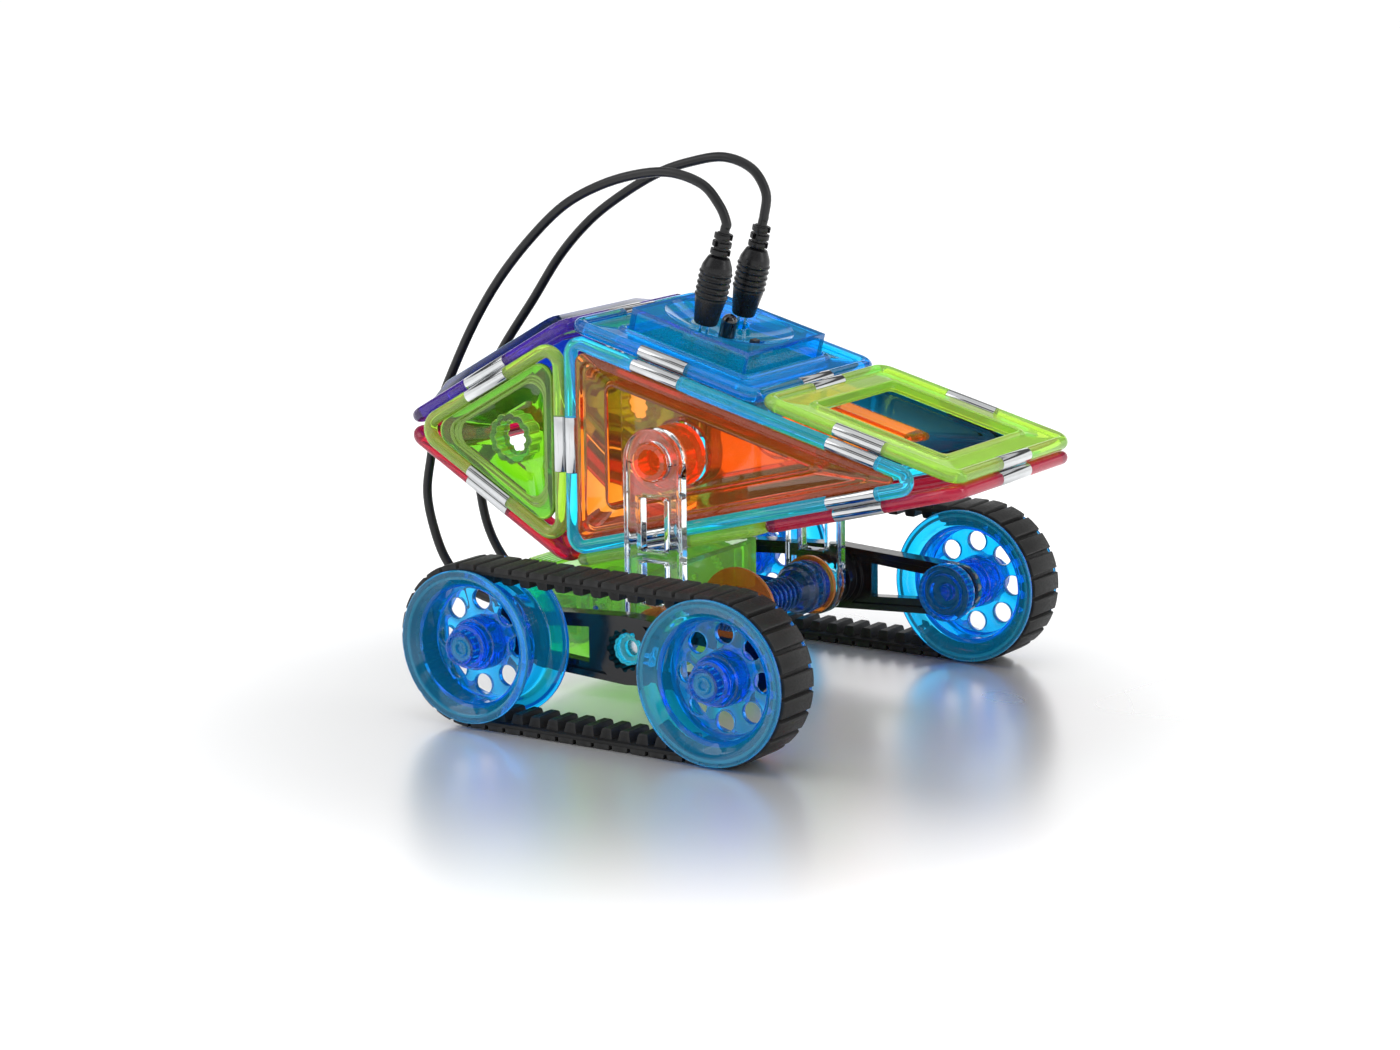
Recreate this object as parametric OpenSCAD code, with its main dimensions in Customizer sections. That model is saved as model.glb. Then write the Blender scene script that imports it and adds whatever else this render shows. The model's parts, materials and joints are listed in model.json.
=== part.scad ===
// Remote-controlled tracked rover built from magnetic construction tiles.
// X points to the nose, Y to the left, Z up; the tracks stand on Z = 0.

/* [Hull tiles] */
// Edge length of one construction tile
tile_edge = 70; // [66:1:74]
// Radius of the round tube that borders each tile
tube_r = 2.1; // [1.9:0.05:2.1]
// Distance of a side tile's mid-plane from the centre plane
side_plane_y = 35.4; // [35.2:0.1:36]
// How far the square tiles stand out from the hull's edge lines
tile_lift = 1.75; // [1.75:0.05:2]
// Side length of the square window in an open tile
window_w = 45; // [42:1:48]
// Depth of the bevelled tray in a side tile
tray_depth = 5.5; // [4:0.5:6]
// Height of the hull's axis above the wheel axles
hull_height = 54; // [54:0.5:58]

/* [Tracks] */
// Distance between the front and rear axles
wheelbase = 86; // [84:1:88]
// Outer radius of the track belt where it wraps a wheel
belt_r = 25; // [24.8:0.1:26]
// Number of ribs round one belt
belt_ribs = 50; // [44:1:52]
// Radius of the larger wheel flange
big_flange_r = 24.4; // [24:0.1:24.6]
// Radius of the smaller wheel flange
small_flange_r = 23.2; // [22.6:0.1:23.6]
// Radius of the wheel drum between its flanges
drum_r = 20; // [19:0.1:20]
// Width of a wheel over both flanges
wheel_w = 19.7; // [19:0.1:20.5]
// Distance of a wheel's inner face from the centre plane
wheel_in_y = 63.6; // [63.4:0.1:66]

/* [Drive box] */
// Length of the drive box
box_l = 43; // [42:0.5:43.5]
// Width of the drive box
box_w = 66; // [66:1:68]
// Radius of every wheel axle
axle_r = 2.5; // [2:0.1:2.6]

/* [Receiver] */
// Side length of the square receiver cover
receiver_w = 43; // [41:0.5:43.5]
// Height of the receiver cover's top above the hull's edge line
receiver_h = 9.8; // [9:0.1:11]
// Distance of each plug from the centre plane
plug_y = 10.5; // [9:0.5:11]
// Radius of the two motor cables
cable_r = 1.5; // [1.3:0.1:1.5]

/* [Hidden] */
$fn = 48;

// ---- Hull outline, seen from the side: a long kite ----
half_h = tile_edge / 2;
long_leg = 2 * tile_edge;
nose_x = sqrt(long_leg * long_leg - half_h * half_h);
tail_x = -tile_edge * sqrt(0.75);
nose_slope = atan2(half_h, nose_x);
tail_slope = 30;
tube_inset = tube_r + 0.05;
neck_r = tube_r - 0.25;
sleeve_r = tube_r + 0.04;
sleeve_l = 17;
magnet_r = 1.2;
magnet_l = 12;
elbow_r = tube_r + 0.03;
elbow_lap = 1.5;
nose_corner_r = 2.6;
corner_r = 3.6;

// X of the hull's tallest section, so that the whole object is centred on X = 0
rear_reach = tail_x + tube_inset * cos(tail_slope) - tile_lift * sin(tail_slope) - tube_r;
front_reach = nose_x - tube_inset * cos(nose_slope) + tile_lift * sin(nose_slope) + tube_r;
tall_x = -(rear_reach + front_reach) / 2;
axle_z = belt_r;
hull_z = axle_z + hull_height;

iso_outline = [[0, -half_h], [nose_x, 0], [0, half_h]];
iso_corners = [corner_r, nose_corner_r, corner_r];
equi_outline = [[tail_x, 0], [0, -half_h], [0, half_h]];
equi_corners = [4.6, 4.6, 4.6];
square_outline = [[0, -half_h], [tile_edge, -half_h], [tile_edge, half_h], [0, half_h]];
square_corners = [corner_r, corner_r, corner_r, corner_r];

// ---- Track and drive positions ----
mid_axle_ahead = 38.7;
mid_axle_x = tall_x + mid_axle_ahead;
rear_axle_x = mid_axle_x - wheelbase / 2;
front_axle_x = mid_axle_x + wheelbase / 2;
wheel_out_y = wheel_in_y + wheel_w;
flange_t = 1.4;
belt_w = wheel_w - 2 * flange_t - 1.2;
belt_mid_y = wheel_in_y + wheel_w / 2;
belt_in_r = belt_r - 2.8;
lug_in_r = drum_r + 0.4;
groove_depth = 1.3;
groove_w = 1;
lug_w = 3.4;
link_y = 45;
link_t = 5;
link_r = 10;
bush_r = 9.6;
hub_bore_r = 5.2;
beam_in_y = 56;
beam_t = 6;
run_gap = 0.05;
axle_hub_l = 4.5;
axle_hub_r = 9;
axle_hub_y = beam_in_y - axle_hub_l - 0.3;
knob_y = wheel_out_y - 3.5;

box_rear_x = tall_x - 19;
box_front_x = box_rear_x + box_l;
box_wall = 1.8;
box_low_z = axle_z - 18;
box_top_z = axle_z + 15.3;

// ---- Gear train on each side of the drive box ----
gear_m = 0.5;
pinion_t = 10;
big_t = 36;
small_t = 12;
final_t = 40;
tooth_angle = 25;
train_a = 15;
train_b = -70;
compound_x = rear_axle_x + gear_m * (final_t + small_t) / 2 * cos(train_a);
compound_z = axle_z + gear_m * (final_t + small_t) / 2 * sin(train_a);
motor_x = compound_x + gear_m * (big_t + pinion_t) / 2 * cos(train_b);
motor_z = compound_z + gear_m * (big_t + pinion_t) / 2 * sin(train_b);
layer_a_y = 20.2;
layer_b_y = 23.8;
gear_w = 3;
motor_r = 7.5;
motor_end_y = 19;
motor_start_y = 0.8;
pin_r = 1;

// ---- Receiver, in the plane of the top tile ----
receiver_s = tile_edge / 2;
dish_r = 20;
dish_depth = 5;
dish_ball_r = (dish_r * dish_r + dish_depth * dish_depth) / (2 * dish_depth);
plug_base_h = 9.6;
plug_top_h = 38.6;
plug_s = 33;
case_low_h = -15;
board_top_h = 2.1;
lamp_place = [25, -3];
lamp_r = 1.5;
switch_s = 46;
cell_pitch = 12;
door_screw_s = 14;
door_w = 38;

// ---- Cable routes as [x, z] measured from the tallest section and the axles ----
route_right = [[40, 126], [34, 132], [23, 135], [11, 134], [-3, 130], [-17, 123],
    [-30, 112], [-42, 99], [-52, 85], [-61, 69], [-68, 54], [-71, 40], [-73, 28],
    [-71, 17], [-66, 6], [-57, -2], [-45, -5], [-34, -3]];
route_left = [[43, 128], [38, 135], [28, 138], [16, 136], [4, 132], [-9, 125],
    [-22, 116], [-34, 104], [-45, 89], [-57, 73], [-66, 58], [-70, 42], [-68, 27],
    [-65, 14], [-59, 4], [-50, -3], [-40, -5], [-32, -4]];
grommet_z = -3;
grommet_l = 5;
grommet_flange_r = 2.6;
grommet_neck_r = 1.9;
cable_sides = 8;
cable_steps = 2;

// ---- Plane geometry ----
function unit(v) = v / norm(v);
function after(p, i) = p[(i + 1) % len(p)];
function before(p, i) = p[(i + len(p) - 1) % len(p)];
function edge_dir(p, i) = unit(after(p, i) - p[i]);
function in_normal(p, i) = [-edge_dir(p, i)[1], edge_dir(p, i)[0]];
function back_normal(p, i) = in_normal(p, (i + len(p) - 1) % len(p));
function corner_shift(p, i) =
    (back_normal(p, i) + in_normal(p, i)) / (1 + back_normal(p, i) * in_normal(p, i));
function inset(p, d) = [for (i = [0:len(p) - 1]) p[i] + d * corner_shift(p, i)];
function turn(p, i) = acos(back_normal(p, i) * in_normal(p, i));
function start_angle(p, i) = atan2(-back_normal(p, i)[1], -back_normal(p, i)[0]);
function rounded(p, radii, n) = [for (i = [0:len(p) - 1]) for (j = [0:n])
    p[i] + radii[i] * corner_shift(p, i)
    + radii[i] * [cos(start_angle(p, i) + turn(p, i) * j / n), sin(start_angle(p, i) + turn(p, i) * j / n)]];

// Solid between two outlines of equally many points, p0 at z0 and p1 at z1 above it
module loft(p0, z0, p1, z1) {
    n = len(p0);
    points = concat([for (q = p0) [q[0], q[1], z0]], [for (q = p1) [q[0], q[1], z1]]);
    sides = [for (i = [0:n - 1]) [i, n + i, n + (i + 1) % n, (i + 1) % n]];
    polyhedron(points, concat([[for (i = [0:n - 1]) i]], [[for (i = [0:n - 1]) 2 * n - 1 - i]], sides));
}

// Places its children at the middle of every tile length along an outline's border tube
module along_edges(p) {
    for (i = [0:len(p) - 1]) {
        side = norm(after(p, i) - p[i]);
        count = round(side / tile_edge);
        for (k = [0:count - 1])
            translate(p[i] + edge_dir(p, i) * side * (k + 0.5) / count + in_normal(p, i) * tube_inset)
                rotate([0, 0, atan2(edge_dir(p, i)[1], edge_dir(p, i)[0])])
                    rotate([0, 90, 0])
                        children();
    }
}

// Straight tube of one side, slimmer where a steel sleeve wraps it
module edge_tube(p, radii, i) {
    c = inset(p, tube_inset);
    j = (i + 1) % len(p);
    side = norm(after(p, i) - p[i]);
    count = round(side / tile_edge);
    offset_s = (c[i] - p[i]) * edge_dir(p, i);
    first = radii[i] * tan(turn(p, i) / 2);
    last = norm(after(c, i) - c[i]) - radii[j] * tan(turn(p, j) / 2);
    middles = [for (k = [0:count - 1]) side * (k + 0.5) / count - offset_s];
    starts = concat([first], [for (m = middles) m + sleeve_l / 2]);
    ends = concat([for (m = middles) m - sleeve_l / 2], [last]);
    translate(c[i])
        rotate([0, 0, atan2(edge_dir(p, i)[1], edge_dir(p, i)[0])])
            rotate([0, 90, 0]) {
                for (m = middles)
                    translate([0, 0, m])
                        cylinder(h = sleeve_l + 2, r = neck_r, center = true);
                for (k = [0:count])
                    translate([0, 0, starts[k]])
                        cylinder(h = ends[k] - starts[k], r = tube_r);
            }
}

// Round border tube of a tile with a sealed pocket for a magnet under each sleeve
module tube_frame(p, radii) {
    c = inset(p, tube_inset);
    difference() {
        union() {
            for (i = [0:len(p) - 1]) {
                edge_tube(p, radii, i);
                translate(c[i] + radii[i] * corner_shift(p, i))
                    rotate([0, 0, start_angle(p, i) - elbow_lap])
                        rotate_extrude(angle = turn(p, i) + 2 * elbow_lap)
                            translate([radii[i], 0])
                                circle(elbow_r);
            }
        }
        along_edges(p)
            cylinder(h = magnet_l, r = magnet_r, center = true);
    }
}

module sleeve_ring() {
    difference() {
        cylinder(h = sleeve_l, r = sleeve_r, center = true);
        cylinder(h = sleeve_l + 1, r = neck_r, center = true);
    }
}

module magnet_rod() {
    cylinder(h = magnet_l, r = magnet_r, center = true);
}

// Square tile with a flat flange and a raised lip round its window
module square_tile() {
    lip = 1.5;
    flange_w = tile_edge - 3.2 * tube_inset;
    tube_frame(square_outline, square_corners);
    difference() {
        translate([tile_edge / 2, 0, -0.8])
            linear_extrude(1.6)
                difference() {
                    square(flange_w, center = true);
                    square(window_w, center = true);
                }
        along_edges(square_outline)
            cylinder(h = sleeve_l + 0.04, r = sleeve_r + 0.04, center = true);
    }
    translate([tile_edge / 2, 0, -1.8])
        linear_extrude(3.6)
            difference() {
                square(window_w + 2 * lip, center = true);
                square(window_w, center = true);
            }
}

// Bevelled tray panel: its rim lies near the tube and its floor one tray depth inwards
module tray(p, radii, slope_w) {
    rim = inset(p, 2 * tube_inset + 0.1);
    low = inset(p, 2 * tube_inset + slope_w);
    wall = 1.2;
    rim_in = inset(p, 2 * tube_inset + 1.4);
    low_in = inset(p, 2 * tube_inset + slope_w + 0.6);
    difference() {
        loft(rounded(low, radii, 3), 1.2 - tray_depth - wall, rounded(rim, radii, 3), 1.2);
        loft(rounded(low_in, radii, 3), 1.2 - tray_depth, rounded(rim_in, radii, 3), 1.3);
    }
}

// Twelve-lobed hole that takes a plug-in axle end
module lobed_circle(r, lobe_r) {
    circle(r);
    for (a = [0:30:330])
        rotate(a)
            translate([r, 0])
                circle(lobe_r, $fn = 24);
}

// ---- Places in the hull ----
module at_hull() {
    translate([tall_x, 0, hull_z])
        children();
}

module at_side(right) {
    mirror([0, right ? 0 : 1, 0])
        at_hull()
            translate([0, -side_plane_y, 0])
                rotate([90, 0, 0])
                    children();
}

// Plane of the top nose-ward tiles; the first child starts at the ridge
module at_nose_slope(along, below = false) {
    at_hull()
        mirror([0, 0, below ? 1 : 0])
            translate([0, 0, half_h])
                rotate([0, nose_slope, 0])
                    translate([along, 0, tile_lift])
                        children();
}

module at_tail_slope(below = false) {
    at_hull()
        mirror([0, 0, below ? 1 : 0])
            translate([tail_x, 0, 0])
                rotate([0, -tail_slope, 0])
                    translate([0, 0, tile_lift])
                        children();
}

// Repeats its child on every square tile
module on_square_tiles() {
    at_nose_slope(0) children();
    at_nose_slope(tile_edge) children();
    at_tail_slope() children();
    at_tail_slope(true) children();
    at_nose_slope(0, true) children();
    at_nose_slope(tile_edge, true) children();
}

// Local frame of the receiver: X along the slope, Z out of the hull's edge line
module at_receiver() {
    at_hull()
        translate([0, 0, half_h])
            rotate([0, nose_slope, 0])
                children();
}

// ---- Hull tiles ----
module side_frame(right) {
    color([0.1, 0.68, 0.85])
        at_side(right)
            tube_frame(iso_outline, iso_corners);
}

module side_panel(right) {
    color(right ? [0.95, 0.42, 0.05] : [0.05, 0.42, 0.55])
        at_side(right)
            difference() {
                tray(iso_outline, [4, 2, 4], 6.5);
                translate([mid_axle_ahead, 0, -10])
                    cylinder(h = 20, r = bush_r + 0.1);
            }
}

module rear_side_frame(right) {
    color([0.6, 0.88, 0.12])
        at_side(right)
            tube_frame(equi_outline, equi_corners);
}

module rear_side_panel(right) {
    boss_r = 8.2;
    hole_r = 4.9;
    color([0.6, 0.9, 0.1])
        at_side(right)
            difference() {
                union() {
                    tray(equi_outline, [5, 5, 5], 8);
                    translate([tail_x / 3, 0, -tray_depth])
                        cylinder(h = tray_depth + 1.5, r = boss_r);
                }
                translate([tail_x / 3, 0, -10])
                    linear_extrude(20)
                        lobed_circle(hole_r, 0.8);
            }
}

module top_frame() {
    color([0.05, 0.4, 0.85])
        at_nose_slope(0)
            square_tile();
}

module nose_top_frame() {
    color([0.6, 0.88, 0.12])
        at_nose_slope(tile_edge)
            square_tile();
}

module rear_top_frame() {
    color([0.4, 0.2, 0.7])
        at_tail_slope()
            square_tile();
}

module rear_top_panel() {
    rim = inset(square_outline, 4.4);
    top = inset(square_outline, 11);
    rim_in = inset(square_outline, 5.8);
    top_in = inset(square_outline, 12);
    radii = [2.5, 2.5, 2.5, 2.5];
    color([0.03, 0.3, 0.75])
        at_tail_slope()
            difference() {
                loft(rounded(rim, radii, 3), 0.85, rounded(top, radii, 3), 6.3);
                loft(rounded(rim_in, radii, 3), 0.8, rounded(top_in, radii, 3), 5.1);
                translate([tile_edge / 2, 0, -0.2])
                    cube([window_w + 3.4, window_w + 3.4, 4.2], center = true);
            }
}

module rear_bottom_frame() {
    color([0.5, 0.02, 0.1])
        at_tail_slope(true)
            square_tile();
}

module belly_frame() {
    color([0.6, 0.88, 0.12])
        at_nose_slope(0, true)
            square_tile();
}

module nose_bottom_frame() {
    color([0.6, 0.02, 0.15])
        at_nose_slope(tile_edge, true)
            square_tile();
}

module steel_sleeves() {
    color([0.85, 0.86, 0.88]) {
        for (right = [true, false])
            at_side(right) {
                along_edges(iso_outline) sleeve_ring();
                along_edges(equi_outline) sleeve_ring();
            }
        on_square_tiles()
            along_edges(square_outline) sleeve_ring();
    }
}

module tile_magnets() {
    color([0.6, 0.6, 0.62]) {
        for (right = [true, false])
            at_side(right) {
                along_edges(iso_outline) magnet_rod();
                along_edges(equi_outline) magnet_rod();
            }
        on_square_tiles()
            along_edges(square_outline) magnet_rod();
    }
}

// ---- Receiver ----
module dish_ball() {
    translate([receiver_s, 0, receiver_h - dish_depth + dish_ball_r])
        sphere(dish_ball_r, $fn = 96);
}

module receiver_cover() {
    base_h = 0.5;
    wall = 1.5;
    color([0.05, 0.42, 0.9])
        at_receiver()
            difference() {
                translate([receiver_s, 0, (base_h + receiver_h) / 2])
                    cube([receiver_w, receiver_w, receiver_h - base_h], center = true);
                dish_ball();
                difference() {
                    translate([receiver_s, 0, base_h])
                        cube([receiver_w - 2 * wall, receiver_w - 2 * wall, 2 * (receiver_h - base_h - wall)],
                            center = true);
                    translate([0, 0, -wall])
                        dish_ball();
                }
                for (side = [-1, 1])
                    translate([plug_s, side * plug_y, 0])
                        cylinder(h = receiver_h, r = 2.6);
                translate([receiver_s, 0, 0])
                    cylinder(h = receiver_h, r = 2.6);
                translate(lamp_place)
                    cylinder(h = receiver_h, r = lamp_r + 0.1);
                translate([switch_s, 0, receiver_h / 2])
                    cube([2.6, 6.6, receiver_h], center = true);
            }
}

module receiver_case() {
    wall = 1.5;
    case_h = 0.2 - case_low_h;
    color([0.05, 0.38, 0.8])
        at_receiver()
            translate([receiver_s, 0, case_low_h])
                difference() {
                    translate([0, 0, case_h / 2])
                        cube([receiver_w, receiver_w, case_h], center = true);
                    translate([0, 0, (case_h - wall) / 2])
                        cube([receiver_w - 2 * wall, receiver_w - 2 * wall, case_h - wall], center = true);
                    translate([0, 0, case_h])
                        cube([8, 14, 4], center = true);
                    for (x = [-1, 1])
                        translate([x * door_screw_s, 0, -1])
                            cylinder(h = 1, r = 1);
                }
}

module circuit_board() {
    color([0.05, 0.35, 0.2])
        at_receiver()
            translate([receiver_s, 0, 1.4])
                cube([door_w, door_w, 1.2], center = true);
}

// Black domed window over the infrared sensor
module infrared_dome() {
    color([0.05, 0.03, 0.04])
        at_receiver()
            translate([receiver_s, 0, board_top_h]) {
                cylinder(h = 7.3, r = 2.5);
                translate([0, 0, 7.3])
                    sphere(2.5);
            }
}

module status_lamp() {
    color([0.85, 0.95, 0.85])
        at_receiver()
            translate([lamp_place[0], lamp_place[1], board_top_h]) {
                cylinder(h = 3.6, r = lamp_r);
                translate([0, 0, 3.6])
                    sphere(lamp_r);
            }
}

// Small slider in a slot in the dish's floor
module power_switch() {
    color([0.12, 0.1, 0.1])
        at_receiver()
            translate([switch_s, -1.5, board_top_h + 0.2]) {
                translate([0, 0, 2.1])
                    cube([2, 3, 4.2], center = true);
                translate([0, 0, 4.8])
                    cube([2, 3, 1.2], center = true);
            }
}

module battery_cells() {
    cell_r = 5.2;
    color([0.2, 0.2, 0.22])
        at_receiver()
            for (k = [-1, 0, 1])
                translate([receiver_s + cell_pitch * k, 0, case_low_h + 1.2 + cell_r])
                    rotate([90, 0, 0])
                        cylinder(h = 30, r = cell_r, center = true);
}

module battery_contacts() {
    color([0.8, 0.8, 0.78])
        at_receiver()
            for (k = [-1, 0, 1], side = [-1, 1])
                translate([receiver_s + cell_pitch * k, side * 15.5, case_low_h + 6.4])
                    rotate([90, 0, 0])
                        cylinder(h = 0.8, r = 4, center = true);
}

module battery_door() {
    color([0.05, 0.42, 0.9])
        at_receiver()
            translate([receiver_s, 0, case_low_h])
                difference() {
                    translate([0, 0, -0.1])
                        cube([door_w, door_w, 1.8], center = true);
                    for (x = [-1, 1])
                        translate([x * door_screw_s, 0, -2])
                            cylinder(h = 4, r = 1.2);
                }
}

module case_screws() {
    color([0.7, 0.7, 0.72])
        at_receiver()
            for (x = [-1, 1])
                translate([receiver_s + x * door_screw_s, 0, case_low_h - 2]) {
                    cylinder(h = 0.9, r = 2);
                    cylinder(h = 2.6, r = 0.9);
                }
}

// ---- Plugs and cables ----
// Moulded plug with two pins, ribs round its grip and a blocky strain relief
module plug(side) {
    grip = [[0, 0], [3.4, 0], [4, 1], [4.7, 8], [4.9, 14], [4.6, 17], [3.1, 20.5], [2.6, 21], [0, 21]];
    color([0.08, 0.08, 0.08])
        at_receiver()
            translate([plug_s, side * plug_y, plug_base_h]) {
                rotate_extrude()
                    polygon(grip);
                for (k = [0:4])
                    translate([0, 0, 9 + 1.7 * k])
                        cylinder(h = 0.8, r = 5.1);
                translate([0, 0, 21])
                    cylinder(h = plug_top_h - plug_base_h - 21, r = 2);
                for (k = [0:2])
                    translate([0, 0, 21 + 2.9 * k])
                        cylinder(h = 2, r = 3);
                for (pin = [-1, 1])
                    translate([pin * 1.3, 0, -5])
                        cylinder(h = 6, r = 0.5);
            }
}

// Smooth curve through the points of a route, a few steps from each point to the next
function smooth(p, i, t) =
    let (a = p[max(i - 1, 0)], b = p[i], c = p[i + 1], d = p[min(i + 2, len(p) - 1)])
    0.5 * (2 * b + t * (c - a) + t * t * (2 * a - 5 * b + 4 * c - d)
        + t * t * t * (3 * b - 3 * c + d - a));

function route_ends(route) =
    let (up = [sin(nose_slope), cos(nose_slope)],
        along = [cos(nose_slope), -sin(nose_slope)],
        top = [0, hull_height + half_h] + plug_s * along + plug_top_h * up,
        inlet = [box_rear_x - grommet_l - tall_x, grommet_z])
    concat([top, top + 1.5 * up, top + 3 * up], route, [inlet - [3, 0], inlet - [1.5, 0], inlet]);

// Round tube swept along a route that lies in one upright plane
module cable(side, route) {
    p = route_ends(route);
    last = len(p) - 1;
    path = concat([for (i = [0:last - 1]) for (k = [0:cable_steps - 1]) smooth(p, i, k / cable_steps)],
        [p[last]]);
    n = len(path);
    along = [for (i = [0:n - 1]) unit(path[min(i + 1, n - 1)] - path[max(i - 1, 0)])];
    points = [for (i = [0:n - 1]) for (k = [0:cable_sides - 1])
        let (a = 360 * k / cable_sides)
        [path[i][0] - along[i][1] * cable_r * cos(a), cable_r * sin(a),
            path[i][1] + along[i][0] * cable_r * cos(a)]];
    walls = [for (i = [0:n - 2]) for (k = [0:cable_sides - 1])
        let (q = (k + 1) % cable_sides)
        [i * cable_sides + k, (i + 1) * cable_sides + k, (i + 1) * cable_sides + q, i * cable_sides + q]];
    color([0.06, 0.06, 0.06])
        translate([tall_x, side * plug_y, axle_z])
            polyhedron(points, concat([[for (k = [0:cable_sides - 1]) k]], walls,
                [[for (k = [0:cable_sides - 1]) n * cable_sides - 1 - k]]));
}

module cable_grommets() {
    color([0.08, 0.08, 0.08])
        for (side = [-1, 1])
            translate([box_rear_x - grommet_l, side * plug_y, axle_z + grommet_z])
                rotate([0, 90, 0]) {
                    cylinder(h = grommet_l, r = grommet_flange_r);
                    cylinder(h = grommet_l + box_wall, r = grommet_neck_r);
                    translate([0, 0, grommet_l + box_wall])
                        cylinder(h = 1, r = grommet_flange_r);
                }
}

// ---- Drive box ----
module box_outline(rear, front) {
    translate([(box_rear_x + box_front_x) / 2, 0])
        square([box_l - 2 * rear, box_w - 2 * front], center = true);
}

module bearing_holes() {
    translate([rear_axle_x, 0, axle_z])
        rotate([90, 0, 0])
            cylinder(h = box_w + 10, r = axle_r + run_gap, center = true);
    for (side = [-1, 1]) {
        translate([compound_x, side * (box_w / 2 - 2.8), compound_z])
            rotate([side * 90, 0, 0])
                cylinder(h = 6, r = pin_r, center = true);
        translate([box_rear_x, side * plug_y, axle_z + grommet_z])
            rotate([0, 90, 0])
                cylinder(h = 12, r = grommet_neck_r, center = true);
    }
}

module screw_posts() {
    for (x = [box_rear_x + 4.5, box_front_x - 4.5], side = [-1, 1])
        translate([x, side * (box_w / 2 - 3.4), 0])
            children();
}

module drive_box_lower() {
    color([0.62, 0.9, 0.3])
        difference() {
            union() {
                difference() {
                    translate([0, 0, box_low_z])
                        linear_extrude(axle_z - box_low_z)
                            box_outline(0, 0);
                    translate([0, 0, box_low_z + box_wall])
                        linear_extrude(axle_z - box_low_z)
                            box_outline(box_wall, box_wall);
                }
                for (side = [-1, 1])
                    translate([rear_axle_x, side * (box_w / 2 - 2), axle_z - 3])
                        cube([9, 4, 6], center = true);
                translate([0, 0, box_low_z])
                    screw_posts()
                        cylinder(h = axle_z - box_low_z, r = 2.2);
            }
            bearing_holes();
            translate([0, 0, box_low_z - 1])
                screw_posts()
                    cylinder(h = axle_z - box_low_z + 2, r = 1);
            translate([0, 0, box_low_z - 1])
                screw_posts()
                    cylinder(h = 2.4, r = 1.7);
        }
}

module drive_box_upper() {
    rib_count = 7;
    color([0.66, 0.93, 0.36])
        difference() {
            union() {
                difference() {
                    translate([0, 0, axle_z])
                        linear_extrude(box_top_z - axle_z)
                            box_outline(0, 0);
                    translate([0, 0, axle_z - 1])
                        linear_extrude(box_top_z - axle_z - box_wall + 1)
                            box_outline(box_wall, box_wall);
                }
                for (side = [-1, 1]) {
                    translate([rear_axle_x, side * (box_w / 2 - 2), axle_z + 3])
                        cube([9, 4, 6], center = true);
                    translate([compound_x, side * (box_w / 2 - 2.4), compound_z])
                        cube([6.4, 4.8, 6.4], center = true);
                }
                for (k = [0:rib_count - 1])
                    translate([box_rear_x + 1.2 + 1.6 * k, 0, box_top_z])
                        cube([0.7, box_w - 4, 1.2], center = true);
                translate([0, 0, axle_z])
                    screw_posts()
                        cylinder(h = box_top_z - axle_z, r = 2.2);
            }
            bearing_holes();
            translate([0, 0, axle_z - 1])
                screw_posts()
                    cylinder(h = 7, r = 0.9);
        }
}

module box_screws() {
    color([0.7, 0.7, 0.72])
        translate([0, 0, box_low_z])
            screw_posts() {
                cylinder(h = 1.3, r = 1.6);
                cylinder(h = axle_z - box_low_z + 5, r = 0.85);
            }
}

// Turns its children so that local Z points away from the centre plane on the given side
module sideways(side, x, y, z) {
    translate([x, side * y, z])
        rotate([-side * 90, 0, 0])
            children();
}

module motor(side) {
    color([0.75, 0.76, 0.78])
        sideways(side, motor_x, motor_start_y, motor_z)
            difference() {
                union() {
                    cylinder(h = motor_end_y - motor_start_y, r = motor_r);
                    translate([0, 0, motor_end_y - motor_start_y])
                        cylinder(h = 0.6, r = 2.5);
                }
                translate([0, 0, 6])
                    cylinder(h = 20, r = 0.8);
            }
}

// ---- Gears ----
function involute(base, t) =
    let (a = t * 180 / PI) base * [cos(a) + t * sin(a), sin(a) - t * cos(a)];
function polar(r, a) = r * [cos(a), sin(a)];
function spin(v, a) = [v[0] * cos(a) - v[1] * sin(a), v[0] * sin(a) + v[1] * cos(a)];

// Involute gear outline with one tooth centred on the X axis
module gear_outline(teeth, phase) {
    pitch_r = gear_m * teeth / 2;
    base = pitch_r * cos(tooth_angle);
    tip_r = pitch_r + 0.85 * gear_m;
    root_r = pitch_r - 1.15 * gear_m;
    low_r = max(base, root_r + 0.02);
    play = 0.06;
    t_pitch = tan(tooth_angle);
    half_tooth = 90 / teeth - play / pitch_r * 90 / PI;
    lean = half_tooth + (t_pitch * 180 / PI - tooth_angle);
    t0 = sqrt(max(low_r * low_r / (base * base) - 1, 0));
    t1 = sqrt(tip_r * tip_r / (base * base) - 1);
    flank = [for (k = [0:3]) spin(involute(base, t0 + (t1 - t0) * k / 3), -lean)];
    foot = polar(root_r, atan2(flank[0][1], flank[0][0]));
    half = concat([foot], flank);
    tooth = concat(half, [for (k = [4:-1:0]) [half[k][0], -half[k][1]]]);
    rotate(phase)
        polygon([for (i = [0:teeth - 1]) for (q = tooth) spin(q, 360 * i / teeth)]);
}

// Gear from y to y + w on one side; the outline's plane is seen from the right
module side_gear(side, x, z, y, w, teeth, phase) {
    mid = side * (y + w / 2);
    translate([x, mid, z])
        rotate([90, 0, 0])
            linear_extrude(w, center = true)
                gear_outline(teeth, phase);
}

module pinion(side) {
    color([0.9, 0.9, 0.86]) {
        side_gear(side, motor_x, motor_z, layer_a_y, gear_w, pinion_t, train_b + 180 + 180 / pinion_t);
        sideways(side, motor_x, 8, motor_z)
            cylinder(h = layer_a_y + gear_w - 8, r = 0.75);
    }
}

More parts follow.
